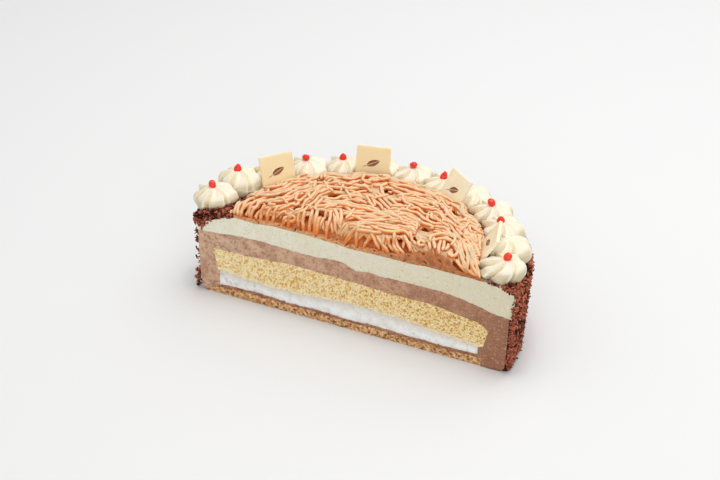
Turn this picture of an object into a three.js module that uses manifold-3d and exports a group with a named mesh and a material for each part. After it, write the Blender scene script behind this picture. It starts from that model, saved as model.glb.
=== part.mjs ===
// Half of a round layered chestnut torte, cut straight through the middle.
// Millimetres, +Z up. The cut runs along X and faces -Y.
import * as THREE from 'three';
import { mergeVertices } from 'three/addons/utils/BufferGeometryUtils.js';
import Module from 'manifold-3d';

const wasm = await Module();
wasm.setup();

// ---------------------------------------------------------------- sizes, mm
const GAP = 0.3;                 // clearance between neighbouring solids
const R_MOUSSE = [100, 100];     // top radius of the mousse [left, right]
const R_MOUSSE_FOOT = [98.2, 98.4];
const R_CREAM_LOW = [100.6, 101.6];
const R_CREAM_TOP = [101.2, 103.6];
const FLATTER = 0.965;           // depth of the outline against half its width
const R_BISCUIT = [94, 84];
const R_FILM = [88, 82.5];
const R_WHITE = [86, 82];
const R_SPONGE_LOW = [87, 85];
const R_SPONGE_TOP = [90, 88];
const FOOT_ROUND = 2.2;          // how far the mousse lifts off the floor at its rim
const R_HEAP = 76.4;             // strand heap, outer edge
const R_HEAP_RIGHT = 84;         // its longer right end at the cut
const HEAP_EDGE = 3.6;           // heap thickness at its edge
const HEAP_DOME = 8.6;           // extra thickness in the middle
const HEAP_FALL = 3.4;           // exponent of the fall towards the edge
const HEAP_FRONT = 0.52;         // share of the thickness left at the cut
const HEAP_FRONT_DEPTH = 5.5;    // depth over which the front slope rises
const HEAP_LUMP = 0.75;          // lumps of the heap
const COAT_IN = 77;              // flake coat, inner edge on the top
const COAT_IN_RIGHT = 95;        // at the right end of the cut it starts further out
const COAT_TOP = 1.5;            // flake coat, thickness on the top
const COAT_TOP_LEFT = 2.6;       // thicker patch at the left end
const COAT_SIDE = [1.2, 1.9];    // on the side wall [left, right]
const ROS_R = 13.2;              // piped rosette, largest radius
const ROS_PETALS = 7;
const ROS_CREASE = 0.21;         // depth of the creases between petals
const ROS_DIMPLE = 1.5;          // dip in which the jelly drop sits
const DROP = [2.15, 2.15, 2.6];  // half sizes of a jelly drop
const PLAQUE = [20.5, 2.0, 20.5];// width, thickness, height
const PLAQUE_EDGE = 0.35;

// ---------------------------------------------- layer borders along the cut
// [x, height] pairs, left end to right end
const BISCUIT_TOP = [[-94, 3.0], [-90, 3.7], [-80, 5.1], [-60, 5.6], [-40, 5.0], [-20, 5.6], [0, 4.8], [20, 5.6], [40, 5.1], [60, 5.0], [84, 5.0]];
const FILM_TOP = [[-88, 5.2], [-84, 6.3], [-76, 6.8], [-60, 7.2], [-40, 6.3], [-20, 6.9], [0, 6.2], [20, 7.0], [40, 6.5], [60, 6.5], [82, 6.9]];
const WHITE_TOP = [[-86, 15.0], [-84, 15.6], [-76, 15.6], [-70, 14.3], [-50, 13.5], [-30, 14.1], [-20, 15.5], [0, 17.1], [10, 17.2], [20, 16.9], [40, 15.5], [60, 14.0], [70, 12.8], [82, 12.3]];
const SPONGE_TOP = [[-90, 30.3], [-84, 30.2], [-70, 30.7], [-50, 31.8], [-40, 32.9], [-20, 32.5], [0, 32.3], [20, 31.9], [40, 31.2], [50, 31.6], [60, 31.2], [70, 29.3], [80, 28.4], [85, 26.8], [88, 23.0]];
const MOUSSE_TOP = [[-100, 40.3], [-90, 40.6], [-80, 41.6], [-70, 42.7], [-60, 43.2], [-40, 42.4], [-30, 42.1], [-20, 42.6], [-10, 43.6], [-3, 43.6], [1, 41.6], [5, 40.4], [13, 42.0], [20, 40.9], [30, 41.5], [50, 41.9], [60, 41.7], [70, 40.8], [80, 38.9], [90, 36.5], [100, 35.5]];
const CREAM_TOP = [[-101.2, 44.4], [-97, 46.0], [-92, 48.0], [-85, 51.1], [-80, 53.1], [-77, 54.3], [-70, 54.2], [-60, 53.9], [-50, 55.2], [-30, 55.4], [-10, 54.6], [0, 53.9], [20, 54.4], [40, 54.6], [50, 55.2], [77, 55.3], [85, 55.0], [92, 53.8], [97, 53.1], [104, 51.2]];

// Rosettes: foot x, y, tip x, y, height of the top, turn, jelly drop on top
const ROSETTES = [
  [-95.5, 15.0, -97.6, 14.0, 62.8, 0.30, true],
  [-92.0, 37.5, -94.8, 38.6, 63.4, 1.10, true],
  [-79.0, 54.0, -79.5, 54.5, 63.6, 0.55, false],
  [-62.5, 67.5, -64.5, 68.0, 64.1, 0.10, true],
  [-43.5, 79.0, -45.3, 79.8, 64.1, 0.80, true],
  [-23.2, 86.8, -23.6, 87.4, 64.0, 0.35, false],
  [-2.0, 88.5, -2.9, 89.8, 64.1, 0.00, true],
  [19.0, 84.5, 18.9, 86.3, 64.1, 0.62, true],
  [40.4, 77.6, 40.8, 78.2, 64.4, 0.20, false],
  [59.0, 66.0, 58.9, 66.0, 65.3, 0.95, true],
  [72.4, 50.2, 71.4, 50.6, 65.3, 0.42, true],
  [82.8, 32.4, 83.2, 32.8, 65.6, 0.15, false],
  [90.4, 13.3, 92.3, 12.4, 65.6, 0.22, true],
];
// Plaques: middle of the lower edge x, y, z, turn, lean back, tilt in its plane (degrees)
const PLAQUES = [
  [-67.8, 42.4, 55.9, 45.5, 15.7, 3.6],
  [-24.7, 77.2, 55.9, 17.6, 13.5, -1.8],
  [29.4, 66.1, 57.7, -33.0, 30.0, -3.0],
  [70.0, 22.9, 57.2, -68.5, 32.0, -6.0],
];

// ------------------------------------------------------------------ helpers
const clamp = (v, a, b) => Math.min(b, Math.max(a, v));
const smooth = (a, b, v) => { const t = clamp((v - a) / (b - a), 0, 1); return t * t * (3 - 2 * t); };
const rad = THREE.MathUtils.degToRad;

function along(pairs, x) {
  if (x <= pairs[0][0]) return pairs[0][1];
  for (let i = 1; i < pairs.length; i++) {
    if (x <= pairs[i][0]) {
      const [x0, z0] = pairs[i - 1], [x1, z1] = pairs[i];
      return z0 + (z1 - z0) * (x - x0) / (x1 - x0);
    }
  }
  return pairs[pairs.length - 1][1];
}
// a border measured on the cut, carried round the torte
const carried = (pairs) => (x, y) => {
  const r = Math.hypot(x, y), c = r > 1e-6 ? x / r : 1, w = (1 + c) / 2;
  return w * along(pairs, r) + (1 - w) * along(pairs, -r);
};
// left/right pair blended round the torte
const blend = (pair) => (a) => { const w = (1 + Math.cos(a)) / 2; return w * pair[1] + (1 - w) * pair[0]; };
// the same for an outline, a little flatter towards the back
const outline = (pair) => (a) => blend(pair)(a) / Math.hypot(Math.cos(a), Math.sin(a) / FLATTER);

function indexed(points, tris) {
  const g = new THREE.BufferGeometry();
  g.setAttribute('position', new THREE.BufferAttribute(new Float32Array(points.flat()), 3));
  g.setIndex(tris.flat());
  return g;
}
function bare(geometry) {
  const g = geometry.clone();
  g.deleteAttribute('normal');
  g.deleteAttribute('uv');
  return mergeVertices(g, 1e-4);
}
function toManifold(geometry) {
  const g = bare(geometry);
  return new wasm.Manifold(new wasm.Mesh({
    numProp: 3,
    vertProperties: new Float32Array(g.attributes.position.array),
    triVerts: new Uint32Array(g.index.array),
  }));
}
function fromManifold(body) {
  const m = body.getMesh();
  const g = new THREE.BufferGeometry();
  const pos = new Float32Array(m.numVert * 3);
  for (let i = 0; i < m.numVert; i++)
    for (let k = 0; k < 3; k++) pos[3 * i + k] = m.vertProperties[m.numProp * i + k];
  g.setAttribute('position', new THREE.BufferAttribute(pos, 3));
  g.setIndex(Array.from(m.triVerts));
  return g;
}

// A layer of the half torte: a chord on the cut, rows spreading to an arc and
// rings outside that arc. Upper and lower skins share the outline.
function layer({ n = 24, rows, rowsLow = [0, 1], rings = [0], arc, rimTop, rimLow, top, low, y0 = 0, grow = 0 }) {
  const pts = [], skin = [];
  const xs = (i) => -1 + 2 * i / n;
  for (const up of [true, false]) {
    const rim = up ? rimTop : rimLow, z = up ? top : low, zed = up ? grow : -grow;
    const inner = up ? rows : rowsLow;
    const ids = [];
    const put = (x, y) => { pts.push([x, y, z(x, Math.max(y, 0)) + zed]); return pts.length - 1; };
    const ringAt = (i, f) => {
      const a = Math.PI * (1 - i / n), r0 = arc ? arc(a) : rim(a), r = r0 + f * (rim(a) - r0) + grow;
      return [r * Math.cos(a), r * Math.sin(a)];
    };
    const ends = [[ringAt(0, 0)[0], y0], [ringAt(n, 0)[0], y0]];
    inner.forEach((t, k) => {
      const row = [];
      for (let i = 0; i <= n; i++) {
        if (i === 0 || i === n) { row.push(k === 0 ? put(...ends[i ? 1 : 0]) : ids[0][i]); continue; }
        const s = xs(i), cx = s < 0 ? -s * ends[0][0] : s * ends[1][0];
        const [ax, ay] = ringAt(i, 0);
        row.push(put(cx + (ax - cx) * t, y0 + (ay - y0) * t));
      }
      ids.push(row);
    });
    rings.slice(1).forEach((f) => {
      const row = [];
      for (let i = 0; i <= n; i++) {
        const [ax, ay] = ringAt(i, f);
        row.push(put(ax, i === 0 || i === n ? y0 : ay));
      }
      ids.push(row);
    });
    skin.push({ ids, inner: inner.length });
  }
  const tris = [];
  const tri = (a, b, c) => { if (a !== b && b !== c && a !== c) tris.push([a, b, c]); };
  skin.forEach(({ ids }, s) => {
    for (let k = 0; k + 1 < ids.length; k++)
      for (let i = 0; i < n; i++) {
        const a = ids[k][i], b = ids[k][i + 1], c = ids[k + 1][i + 1], d = ids[k + 1][i];
        if (s === 0) { tri(a, b, c); tri(a, c, d); } else { tri(a, c, b); tri(a, d, c); }
      }
  });
  const face = skin.map(({ ids, inner }) => {
    const out = ids.slice(inner);
    return [...out.map((r) => r[0]).reverse(), ...ids[0], ...out.map((r) => r[n])];
  });
  const rimIds = skin.map(({ ids }) => ids[ids.length - 1]);
  for (let i = 0; i + 1 < face[0].length; i++) {
    const t0 = face[0][i], t1 = face[0][i + 1], b0 = face[1][i], b1 = face[1][i + 1];
    tri(b0, b1, t1); tri(b0, t1, t0);
  }
  for (let i = 0; i < n; i++) {
    const t0 = rimIds[0][i], t1 = rimIds[0][i + 1], b0 = rimIds[1][i], b1 = rimIds[1][i + 1];
    tri(b1, b0, t0); tri(b1, t0, t1);
  }
  return indexed(pts, tris);
}

const torte = new THREE.Group();
torte.name = 'torte';
function add(name, geometry, color, roughness, metalness = 0, parent = torte) {
  const mesh = new THREE.Mesh(geometry, new THREE.MeshStandardMaterial({ color, roughness, metalness }));
  mesh.name = name;
  parent.add(mesh);
  return mesh;
}

// -------------------------------------------------------- layers of the cut
const H = GAP / 2;
const zBiscuit = carried(BISCUIT_TOP), zFilm = carried(FILM_TOP), zWhite = carried(WHITE_TOP);
const zSponge = carried(SPONGE_TOP), zMousse = carried(MOUSSE_TOP), zCream = carried(CREAM_TOP);

const core = { n: 20, rows: [0, 1], rowsLow: [0, 1], rings: [0, 0.6, 1], arc: () => 79 };
const stack = {
  biscuit_base: {
    ...core, rimTop: outline(R_BISCUIT), rimLow: outline(R_BISCUIT),
    top: (x, y) => zBiscuit(x, y) - H, low: () => 0,
  },
  brown_film: {
    ...core, rimTop: outline(R_FILM), rimLow: outline(R_FILM),
    top: (x, y) => zFilm(x, y) - H, low: (x, y) => zBiscuit(x, y) + H,
  },
  white_layer: {
    ...core, rimTop: outline(R_WHITE), rimLow: outline([R_WHITE[0], R_WHITE[1] - 0.2]),
    top: (x, y) => zWhite(x, y) - H, low: (x, y) => zFilm(x, y) + H,
  },
  sponge_layer: {
    ...core, rimTop: outline(R_SPONGE_TOP), rimLow: outline(R_SPONGE_LOW),
    top: (x, y) => zSponge(x, y) - H, low: (x, y) => zWhite(x, y) + H,
  },
};
for (const s of Object.values(stack)) s.geometry = layer(s);

const footLift = (x, y) => {
  const r = Math.hypot(x, y), edge = outline(R_MOUSSE_FOOT)(Math.atan2(y, x));
  return FOOT_ROUND * clamp((r - edge + 3.2) / 3.2, 0, 1) ** 2;
};
const shell = { n: 24, rows: [0, 1], rowsLow: [0, 1], rings: [0, 0.36, 0.7, 1], arc: () => 77 };
const mousseSpec = {
  ...shell, rimTop: outline(R_MOUSSE), rimLow: outline(R_MOUSSE_FOOT),
  top: (x, y) => zMousse(x, y) - H, low: footLift,
};
let mousse = toManifold(layer(mousseSpec));
for (const s of Object.values(stack)) mousse = mousse.subtract(toManifold(layer({ ...s, y0: -1, grow: GAP })));
mousse = mousse.decompose().sort((p, q) => q.volume() - p.volume())[0];

const creamSpec = {
  ...shell, rimTop: outline(R_CREAM_TOP), rimLow: outline(R_CREAM_LOW),
  top: zCream, low: (x, y) => zMousse(x, y) + H,
};
const creamLayer = layer(creamSpec);
// slightly grown copies, taken out of whatever lies against these two
const creamRoom = toManifold(layer({ ...creamSpec, y0: -1, grow: GAP }));
const mousseRoom = toManifold(layer({ ...mousseSpec, y0: -1, grow: GAP }));

add('biscuit_base', stack.biscuit_base.geometry, 0xc08b56, 0.9);
add('brown_film', stack.brown_film.geometry, 0x8a4e33, 0.6);
add('white_layer', stack.white_layer.geometry, 0xe2e1dc, 0.8);
add('sponge_layer', stack.sponge_layer.geometry, 0xe6c987, 0.95);
add('chestnut_mousse', fromManifold(mousse), 0xb98c70, 0.65);
add('cream_layer', creamLayer, 0xe2dcc4, 0.6);

// ------------------------------------------------------------- flake coat
// Side wall and top rim in one: a section swept round the half torte.
const coatIn = (a) => COAT_IN + (COAT_IN_RIGHT - COAT_IN) * (1 - smooth(rad(1), rad(9), a));
const coatTop = (a) => COAT_TOP + (COAT_TOP_LEFT - COAT_TOP) * smooth(rad(150), rad(172), a);
const coatSide = (a, k) => blend(COAT_SIDE)(a) * (1 + 0.16 * Math.sin(19 * a + 2.1 * k));
function coatSection(a, extra) {
  const up = [], out = [];
  const rFoot = outline(R_MOUSSE_FOOT)(a), rM = outline(R_MOUSSE)(a), rL = outline(R_CREAM_LOW)(a), rT = outline(R_CREAM_TOP)(a);
  const cream = (r) => zCream(r * Math.cos(a), r * Math.sin(a));
  const zl = zMousse(rL * Math.cos(a), rL * Math.sin(a)), zt = cream(rT);
  // inner path, foot to rim to inner edge; it dips into the torte, which is taken out afterwards
  up.push([rFoot + GAP + 0.1, FOOT_ROUND], [rM - 1.2, zl * 0.5], [rM - 1.2, zl], [rT - 1.2, zt - 1]);
  out.push([rFoot + GAP + extra + coatSide(a, 0), 0.6 - extra], [rM + GAP + extra + coatSide(a, 1), zl * 0.55], [rL + GAP + extra + coatSide(a, 2), zl + 1.4],
    [rT + GAP + extra + 0.75 * coatSide(a, 3), zt + 0.6 + extra]);
  const rin = coatIn(a), steps = 3;
  for (let i = 0; i <= steps; i++) {
    const r = rT + (rin - rT) * (0.06 + 0.94 * i / steps);
    const t = coatTop(a) * (i === steps ? 0.6 : 1) * (1 + 0.12 * Math.sin(23 * a + 1.7 * i));
    const tip = i === steps ? extra : 0;
    up.push([r - tip, cream(r) - 1]);
    out.push([r - tip, cream(r) + GAP + t + extra]);
  }
  return { up, out };
}
function sweepCoat(steps, extra = 0) {
  const pts = [], tris = [];
  const m = coatSection(0, 0).up.length;
  for (let s = 0; s <= steps; s++) {
    const a = Math.PI * s / steps, { up, out } = coatSection(a, extra);
    for (const list of [up, out])
      for (const [r, z] of list) pts.push([r * Math.cos(a), s === 0 || s === steps ? -(extra > 0 ? 1 : 0) : r * Math.sin(a), z]);
  }
  const id = (s, side, k) => s * 2 * m + side * m + k;
  const quad = (a, b, c, d) => tris.push([a, b, c], [a, c, d]);
  for (let s = 0; s < steps; s++) {
    for (let k = 0; k + 1 < m; k++) {
      quad(id(s, 1, k), id(s + 1, 1, k), id(s + 1, 1, k + 1), id(s, 1, k + 1));
      quad(id(s, 0, k), id(s, 0, k + 1), id(s + 1, 0, k + 1), id(s + 1, 0, k));
    }
    quad(id(s, 0, 0), id(s + 1, 0, 0), id(s + 1, 1, 0), id(s, 1, 0));
    quad(id(s, 0, m - 1), id(s, 1, m - 1), id(s + 1, 1, m - 1), id(s + 1, 0, m - 1));
  }
  for (let k = 0; k + 1 < m; k++) {
    quad(id(0, 0, k), id(0, 1, k), id(0, 1, k + 1), id(0, 0, k + 1));
    quad(id(steps, 0, k), id(steps, 0, k + 1), id(steps, 1, k + 1), id(steps, 1, k));
  }
  return indexed(pts, tris);
}
const coatBody = toManifold(sweepCoat(shell.n)).subtract(creamRoom).subtract(mousseRoom)
  .decompose().sort((p, q) => q.volume() - p.volume())[0];
const coatRoom = toManifold(sweepCoat(shell.n, GAP));
add('flake_coat', fromManifold(coatBody), 0x7a3f31, 0.75);
const coatSurface = (x, y) => {
  const a = Math.atan2(Math.max(y, 0), x), r = Math.hypot(x, y), rT = outline(R_CREAM_TOP)(a);
  const rr = Math.min(r, rT), over = Math.max(0, r - rT);
  return zCream(rr * Math.cos(a), rr * Math.sin(a)) + GAP + coatTop(a) - 0.25 * over;
};

// ---------------------------------------------------------------- plaques
function plaqueFrame([x, y, z, turn, lean, tilt]) {
  const psi = rad(turn), le = rad(lean), ro = rad(tilt);
  const u = new THREE.Vector3(Math.cos(psi), Math.sin(psi), 0);
  const back = new THREE.Vector3(-Math.sin(psi), Math.cos(psi), 0);
  const rise = new THREE.Vector3(0, 0, 1).multiplyScalar(Math.cos(le)).addScaledVector(back, Math.sin(le));
  const u2 = u.clone().multiplyScalar(Math.cos(ro)).addScaledVector(rise, Math.sin(ro));
  const r2 = rise.clone().multiplyScalar(Math.cos(ro)).addScaledVector(u, -Math.sin(ro));
  const n = new THREE.Vector3().crossVectors(r2, u2);   // out of the back
  const centre = new THREE.Vector3(x, y, z).addScaledVector(r2, PLAQUE[2] / 2).addScaledVector(n, PLAQUE[1] / 2);
  return new THREE.Matrix4().makeBasis(u2, n, r2).setPosition(centre);
}
const plaqueBody = (extra) => {
  const e = extra > 0 ? 0 : PLAQUE_EDGE, w = PLAQUE[0] / 2 + extra - e, h = PLAQUE[2] / 2 + extra - e, t = PLAQUE[1] + 2 * extra;
  const face = new THREE.Shape([new THREE.Vector2(-w, -h), new THREE.Vector2(w, -h), new THREE.Vector2(w, h), new THREE.Vector2(-w, h)]);
  const g = new THREE.ExtrudeGeometry(face, { depth: t - 2 * e, bevelEnabled: e > 0, bevelThickness: e, bevelSize: e, bevelSegments: 1, steps: 1 });
  return bare(g.translate(0, 0, e - t / 2).rotateX(Math.PI / 2));
};
const plaqueCuts = PLAQUES.map((p) => toManifold(plaqueBody(GAP + 0.05).applyMatrix4(plaqueFrame(p))));
PLAQUES.forEach((p, i) => {
  const mesh = add(`plaque_${i + 1}`, plaqueBody(0), 0xecd8a4, 0.45);
  plaqueFrame(p).decompose(mesh.position, mesh.quaternion, mesh.scale);
});

// --------------------------------------------------------------- rosettes
const ROS_N = ROS_PETALS * 3;
// share of the largest radius, share of the height, crease depth, twist
const ROS_ROWS = [
  [0.80, 0.00, 0.50, 0.00],
  [0.98, 0.30, 0.95, 0.10],
  [0.93, 0.60, 1.10, 0.22],
  [0.66, 0.90, 1.15, 0.38],
  [0.33, 1.00, 1.00, 0.55],
];
function rosetteLimit(i, phi) {
  // neighbours press flat against each other half way; the cut trims the ends
  const [x, y] = ROSETTES[i];
  let lim = 1e9;
  for (const j of [i - 1, i + 1]) {
    if (!ROSETTES[j]) continue;
    const dx = ROSETTES[j][0] - x, dy = ROSETTES[j][1] - y, d = Math.hypot(dx, dy);
    const c = (Math.cos(phi) * dx + Math.sin(phi) * dy) / d;
    if (c > 0.05) lim = Math.min(lim, (d / 2 - 0.2) / c);
  }
  if (Math.sin(phi) < -0.05) lim = Math.min(lim, (y - 0.15) / -Math.sin(phi));
  return lim;
}
function rosette(i) {
  const [x, y, tx, ty, zTop, turn, drop] = ROSETTES[i];
  const pts = [], tris = [], foot = [];
  for (let k = 0; k < ROS_N; k++) {
    const phi = turn + 2 * Math.PI * k / ROS_N;
    const r = Math.min(ROS_R * ROS_ROWS[0][0], rosetteLimit(i, phi));
    foot.push(coatSurface(x + r * Math.cos(phi), y + r * Math.sin(phi)) - 0.6);
  }
  ROS_ROWS.forEach(([fr, fz, crease, twist]) => {
    for (let k = 0; k < ROS_N; k++) {
      const wave = [0, 0.95, 0.9][k % 3];
      const phi = turn + twist + 2 * Math.PI * k / ROS_N;
      const cx = (tx - x) * fz * fz, cy = (ty - y) * fz * fz;
      let r = ROS_R * fr * (1 - ROS_CREASE * crease * (1 - wave));
      // stay inside the limit, measured from the foot's middle
      let px = cx + r * Math.cos(phi), py = cy + r * Math.sin(phi);
      const pr = Math.hypot(px, py), pa = Math.atan2(py, px), lim = rosetteLimit(i, pa);
      if (pr > lim) { px *= lim / pr; py *= lim / pr; }
      const zf = foot[k], z = zf + (zTop - zf) * fz - (fz > 0.8 ? 0.5 * (1 - wave) : 0);
      pts.push([x + px, y + py, z]);
    }
  });
  const rows = ROS_ROWS.length, id = (r, k) => r * ROS_N + (k % ROS_N);
  for (let r = 0; r + 1 < rows; r++)
    for (let k = 0; k < ROS_N; k++) tris.push([id(r, k), id(r, k + 1), id(r + 1, k + 1)], [id(r, k), id(r + 1, k + 1), id(r + 1, k)]);
  const topId = pts.push([tx, ty, drop ? zTop - ROS_DIMPLE : zTop + 0.9]) - 1;
  const lowId = pts.push([x, y, foot.reduce((a, b) => a + b, 0) / ROS_N]) - 1;
  for (let k = 0; k < ROS_N; k++) {
    tris.push([id(rows - 1, k), id(rows - 1, k + 1), topId]);
    tris.push([id(0, k + 1), id(0, k), lowId]);
  }
  return indexed(pts, tris);
}
let dropCount = 0;
ROSETTES.forEach((spec, i) => {
  let body = toManifold(rosette(i)).subtract(coatRoom).subtract(creamRoom);
  for (const cut of plaqueCuts) body = body.subtract(cut);
  body = body.decompose().sort((p, q) => q.volume() - p.volume())[0];
  add(`rosette_${String(i + 1).padStart(2, '0')}`, fromManifold(body), 0xf1ead4, 0.55);
  if (spec[6]) {
    dropCount += 1;
    const ball = bare(new THREE.SphereGeometry(1, 7, 5));
    const p = ball.attributes.position;
    for (let k = 0; k < p.count; k++) {
      // pointed slightly towards the top, like a drop
      const up = p.getY(k), wide = 1 - 0.16 * Math.max(0, up) ** 2;
      p.setXYZ(k, p.getX(k) * DROP[0] * wide, -p.getZ(k) * DROP[1] * wide, up * DROP[2]);
    }
    const mesh = add(`jelly_drop_${dropCount}`, ball, 0xd8402c, 0.15);
    mesh.position.set(spec[2], spec[3], spec[4] - ROS_DIMPLE + GAP + DROP[2]);
  }
});

// ------------------------------------------------------------ strand heap
function heapRim(a) {
  let r = R_HEAP + (R_HEAP_RIGHT - R_HEAP) * (1 - smooth(rad(0.5), rad(5), a));
  for (const [cx, cy] of ROSETTES) {
    const rr = ROS_R + 1.0, b = cx * Math.cos(a) + cy * Math.sin(a), q = b * b - (cx * cx + cy * cy - rr * rr);
    if (b > 0 && q > 0) r = Math.min(r, b - Math.sqrt(q));
  }
  return r;
}
const heapThick = (x, y) => {
  const r = Math.hypot(x, y) / 80;
  const base = HEAP_EDGE + HEAP_DOME * (1 - Math.min(1, r ** HEAP_FALL));
  const ends = clamp((x + R_HEAP) / 5, 0.22, 1) * clamp((R_HEAP_RIGHT - x) / 9, 0.22, 1);
  const front = HEAP_FRONT + (1 - HEAP_FRONT) * smooth(0, HEAP_FRONT_DEPTH, y);
  const lump = HEAP_LUMP * (Math.sin(0.33 * x + 0.21 * y) * Math.sin(0.29 * y - 0.12 * x + 1)
    + 0.7 * Math.sin(0.71 * x + 1.3 + 0.4 * Math.sin(0.3 * y)) * Math.sin(0.55 * y + 0.2 * x));
  return Math.max(0.7, base * front * (y < 1 ? ends : 1) + lump * smooth(0, 4, y));
};
const heapN = 28;
let heap = toManifold(layer({
  n: heapN, rows: [0, 0.075, 0.2, 0.36, 0.53, 0.7, 0.86, 1], rowsLow: [0, 1],
  rimTop: heapRim, rimLow: heapRim,
  top: (x, y) => zCream(x, y) + heapThick(x, y), low: (x, y) => zCream(x, y) - 2,
})).subtract(creamRoom).subtract(coatRoom);
for (const cut of plaqueCuts) heap = heap.subtract(cut);
heap = heap.decompose().sort((p, q) => q.volume() - p.volume())[0];
add('chestnut_strands', fromManifold(heap), 0xdfa981, 0.6);

// ------------------------------- origin: middle of the footprint, on the floor
const group = new THREE.Group();
group.name = 'half_chestnut_torte';
torte.updateMatrixWorld(true);
const box = new THREE.Box3().setFromObject(torte, true);
torte.position.set(-(box.min.x + box.max.x) / 2, -(box.min.y + box.max.y) / 2, -box.min.z);
group.add(torte);
export default group;
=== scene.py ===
import math

import bmesh
import bpy
import numpy as np
from mathutils import Matrix, Vector


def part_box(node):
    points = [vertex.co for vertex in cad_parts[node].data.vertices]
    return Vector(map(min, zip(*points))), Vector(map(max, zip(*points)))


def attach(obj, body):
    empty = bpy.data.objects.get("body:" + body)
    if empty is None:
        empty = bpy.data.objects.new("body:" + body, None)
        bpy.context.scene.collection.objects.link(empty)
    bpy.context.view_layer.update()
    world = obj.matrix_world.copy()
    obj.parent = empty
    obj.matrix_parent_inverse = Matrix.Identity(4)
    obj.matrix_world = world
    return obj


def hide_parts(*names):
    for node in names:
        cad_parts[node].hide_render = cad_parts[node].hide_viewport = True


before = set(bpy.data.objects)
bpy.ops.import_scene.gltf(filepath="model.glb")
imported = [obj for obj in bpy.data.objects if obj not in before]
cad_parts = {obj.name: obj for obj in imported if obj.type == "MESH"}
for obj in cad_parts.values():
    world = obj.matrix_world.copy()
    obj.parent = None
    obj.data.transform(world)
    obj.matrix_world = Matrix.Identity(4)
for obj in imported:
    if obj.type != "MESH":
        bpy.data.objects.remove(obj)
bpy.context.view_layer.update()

_b0, _b1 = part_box("biscuit_base")
SHIFT = np.array([_b0.x * 1000.0 + 94.0, _b0.y * 1000.0, 0.0])   # cut frame -> part frame, mm

# ------------------------------------------------------------------ sizes, mm
R_MOUSSE = (100.0, 100.0)
R_FOOT = (98.2, 98.4)
R_CREAM_LOW = (100.6, 101.6)
R_CREAM_TOP = (101.2, 103.6)
FLATTER = 0.965
R_BISCUIT = (94.0, 84.0)
R_FILM = (88.0, 82.5)
R_WHITE = (86.0, 82.0)
R_SPONGE_LOW = (87.0, 85.0)
R_SPONGE_TOP = (90.0, 88.0)
R_HEAP, R_HEAP_RIGHT, R_HEAP_BACK = 78.4, 84.0, 85.0
ROS_R = 13.8
PLAQUE = (20.5, 2.0, 20.5)

BISCUIT_TOP = [(-94, 3.0), (-90, 3.7), (-80, 5.1), (-60, 5.6), (-40, 5.0), (-20, 5.6), (0, 4.8), (20, 5.6), (40, 5.1), (60, 5.0), (84, 5.0)]
FILM_TOP = [(-88, 5.2), (-84, 6.3), (-76, 6.8), (-60, 7.2), (-40, 6.3), (-20, 6.9), (0, 6.2), (20, 7.0), (40, 6.5), (60, 6.5), (82, 6.9)]
WHITE_TOP = [(-86, 15.0), (-84, 15.6), (-76, 15.6), (-70, 14.3), (-50, 13.5), (-30, 14.1), (-20, 15.5), (0, 17.1), (10, 17.2), (20, 16.9), (40, 15.5), (60, 14.0), (70, 12.8), (82, 12.3)]
SPONGE_TOP = [(-90, 30.3), (-84, 30.2), (-70, 30.7), (-50, 31.8), (-40, 32.9), (-20, 32.5), (0, 32.3), (20, 31.9), (40, 31.2), (50, 31.6), (60, 31.2), (70, 29.3), (80, 28.4), (85, 26.8), (88, 23.0)]
MOUSSE_TOP = [(-100, 40.3), (-90, 40.6), (-80, 41.6), (-70, 42.7), (-60, 43.2), (-40, 42.4), (-30, 42.1), (-20, 42.6), (-10, 43.6), (-3, 43.6), (1, 41.6), (5, 40.4), (13, 42.0), (20, 40.9), (30, 41.5), (50, 41.9), (60, 41.7), (70, 40.8), (80, 38.9), (90, 36.5), (100, 35.5)]
CREAM_TOP = [(-101.2, 44.4), (-97, 46.0), (-92, 48.0), (-85, 51.1), (-80, 53.1), (-77, 54.3), (-70, 54.2), (-60, 53.9), (-50, 55.2), (-30, 55.4), (-10, 54.6), (0, 53.9), (20, 54.4), (40, 54.6), (50, 55.2), (77, 55.3), (85, 55.0), (92, 53.8), (97, 53.1), (104, 51.2)]
# how high the knife smeared the paste up the cut, above the cream
BAND = [(-77, 0.8), (-74, 1.8), (-66, 2.6), (-50, 2.8), (-40, 2.3), (-20, 2.4), (0, 2.6), (14, 3.0), (26, 3.4), (33, 4.6), (38, 6.6), (43, 8.4), (50, 9.6), (58, 9.6), (62, 8.0), (65.5, 4.8), (69, 2.0), (76, 1.2), (84, 0.8)]

ROSETTES = [
    (-95.5, 15.0, -97.6, 14.0, 62.8, 0.30, True),
    (-92.0, 37.5, -94.8, 38.6, 63.4, 1.10, True),
    (-79.0, 54.0, -79.5, 54.5, 63.6, 0.55, False),
    (-62.5, 67.5, -64.5, 68.0, 64.1, 0.10, True),
    (-43.5, 79.0, -45.3, 79.8, 64.1, 0.80, True),
    (-23.2, 86.8, -23.6, 87.4, 64.0, 0.35, False),
    (-2.0, 88.5, -2.9, 89.8, 64.1, 0.00, True),
    (19.0, 84.5, 18.9, 86.3, 64.1, 0.62, True),
    (40.4, 77.6, 40.8, 78.2, 64.4, 0.20, False),
    (59.0, 66.0, 58.9, 66.0, 65.3, 0.95, True),
    (73.2, 50.9, 71.4, 50.6, 65.3, 0.42, True),
    (84.0, 33.0, 83.6, 33.0, 65.6, 0.15, False),
    (88.8, 13.6, 92.3, 12.4, 65.6, 0.22, True),
]
PLAQUES = [
    (-67.8, 42.4, 55.9, 45.5, 15.7, 3.6),
    (-24.7, 77.2, 55.9, 17.6, 13.5, -1.8),
    (29.4, 66.1, 57.7, -33.0, 30.0, -3.0),
    (70.0, 22.9, 57.2, -68.5, 32.0, -6.0),
]

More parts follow.
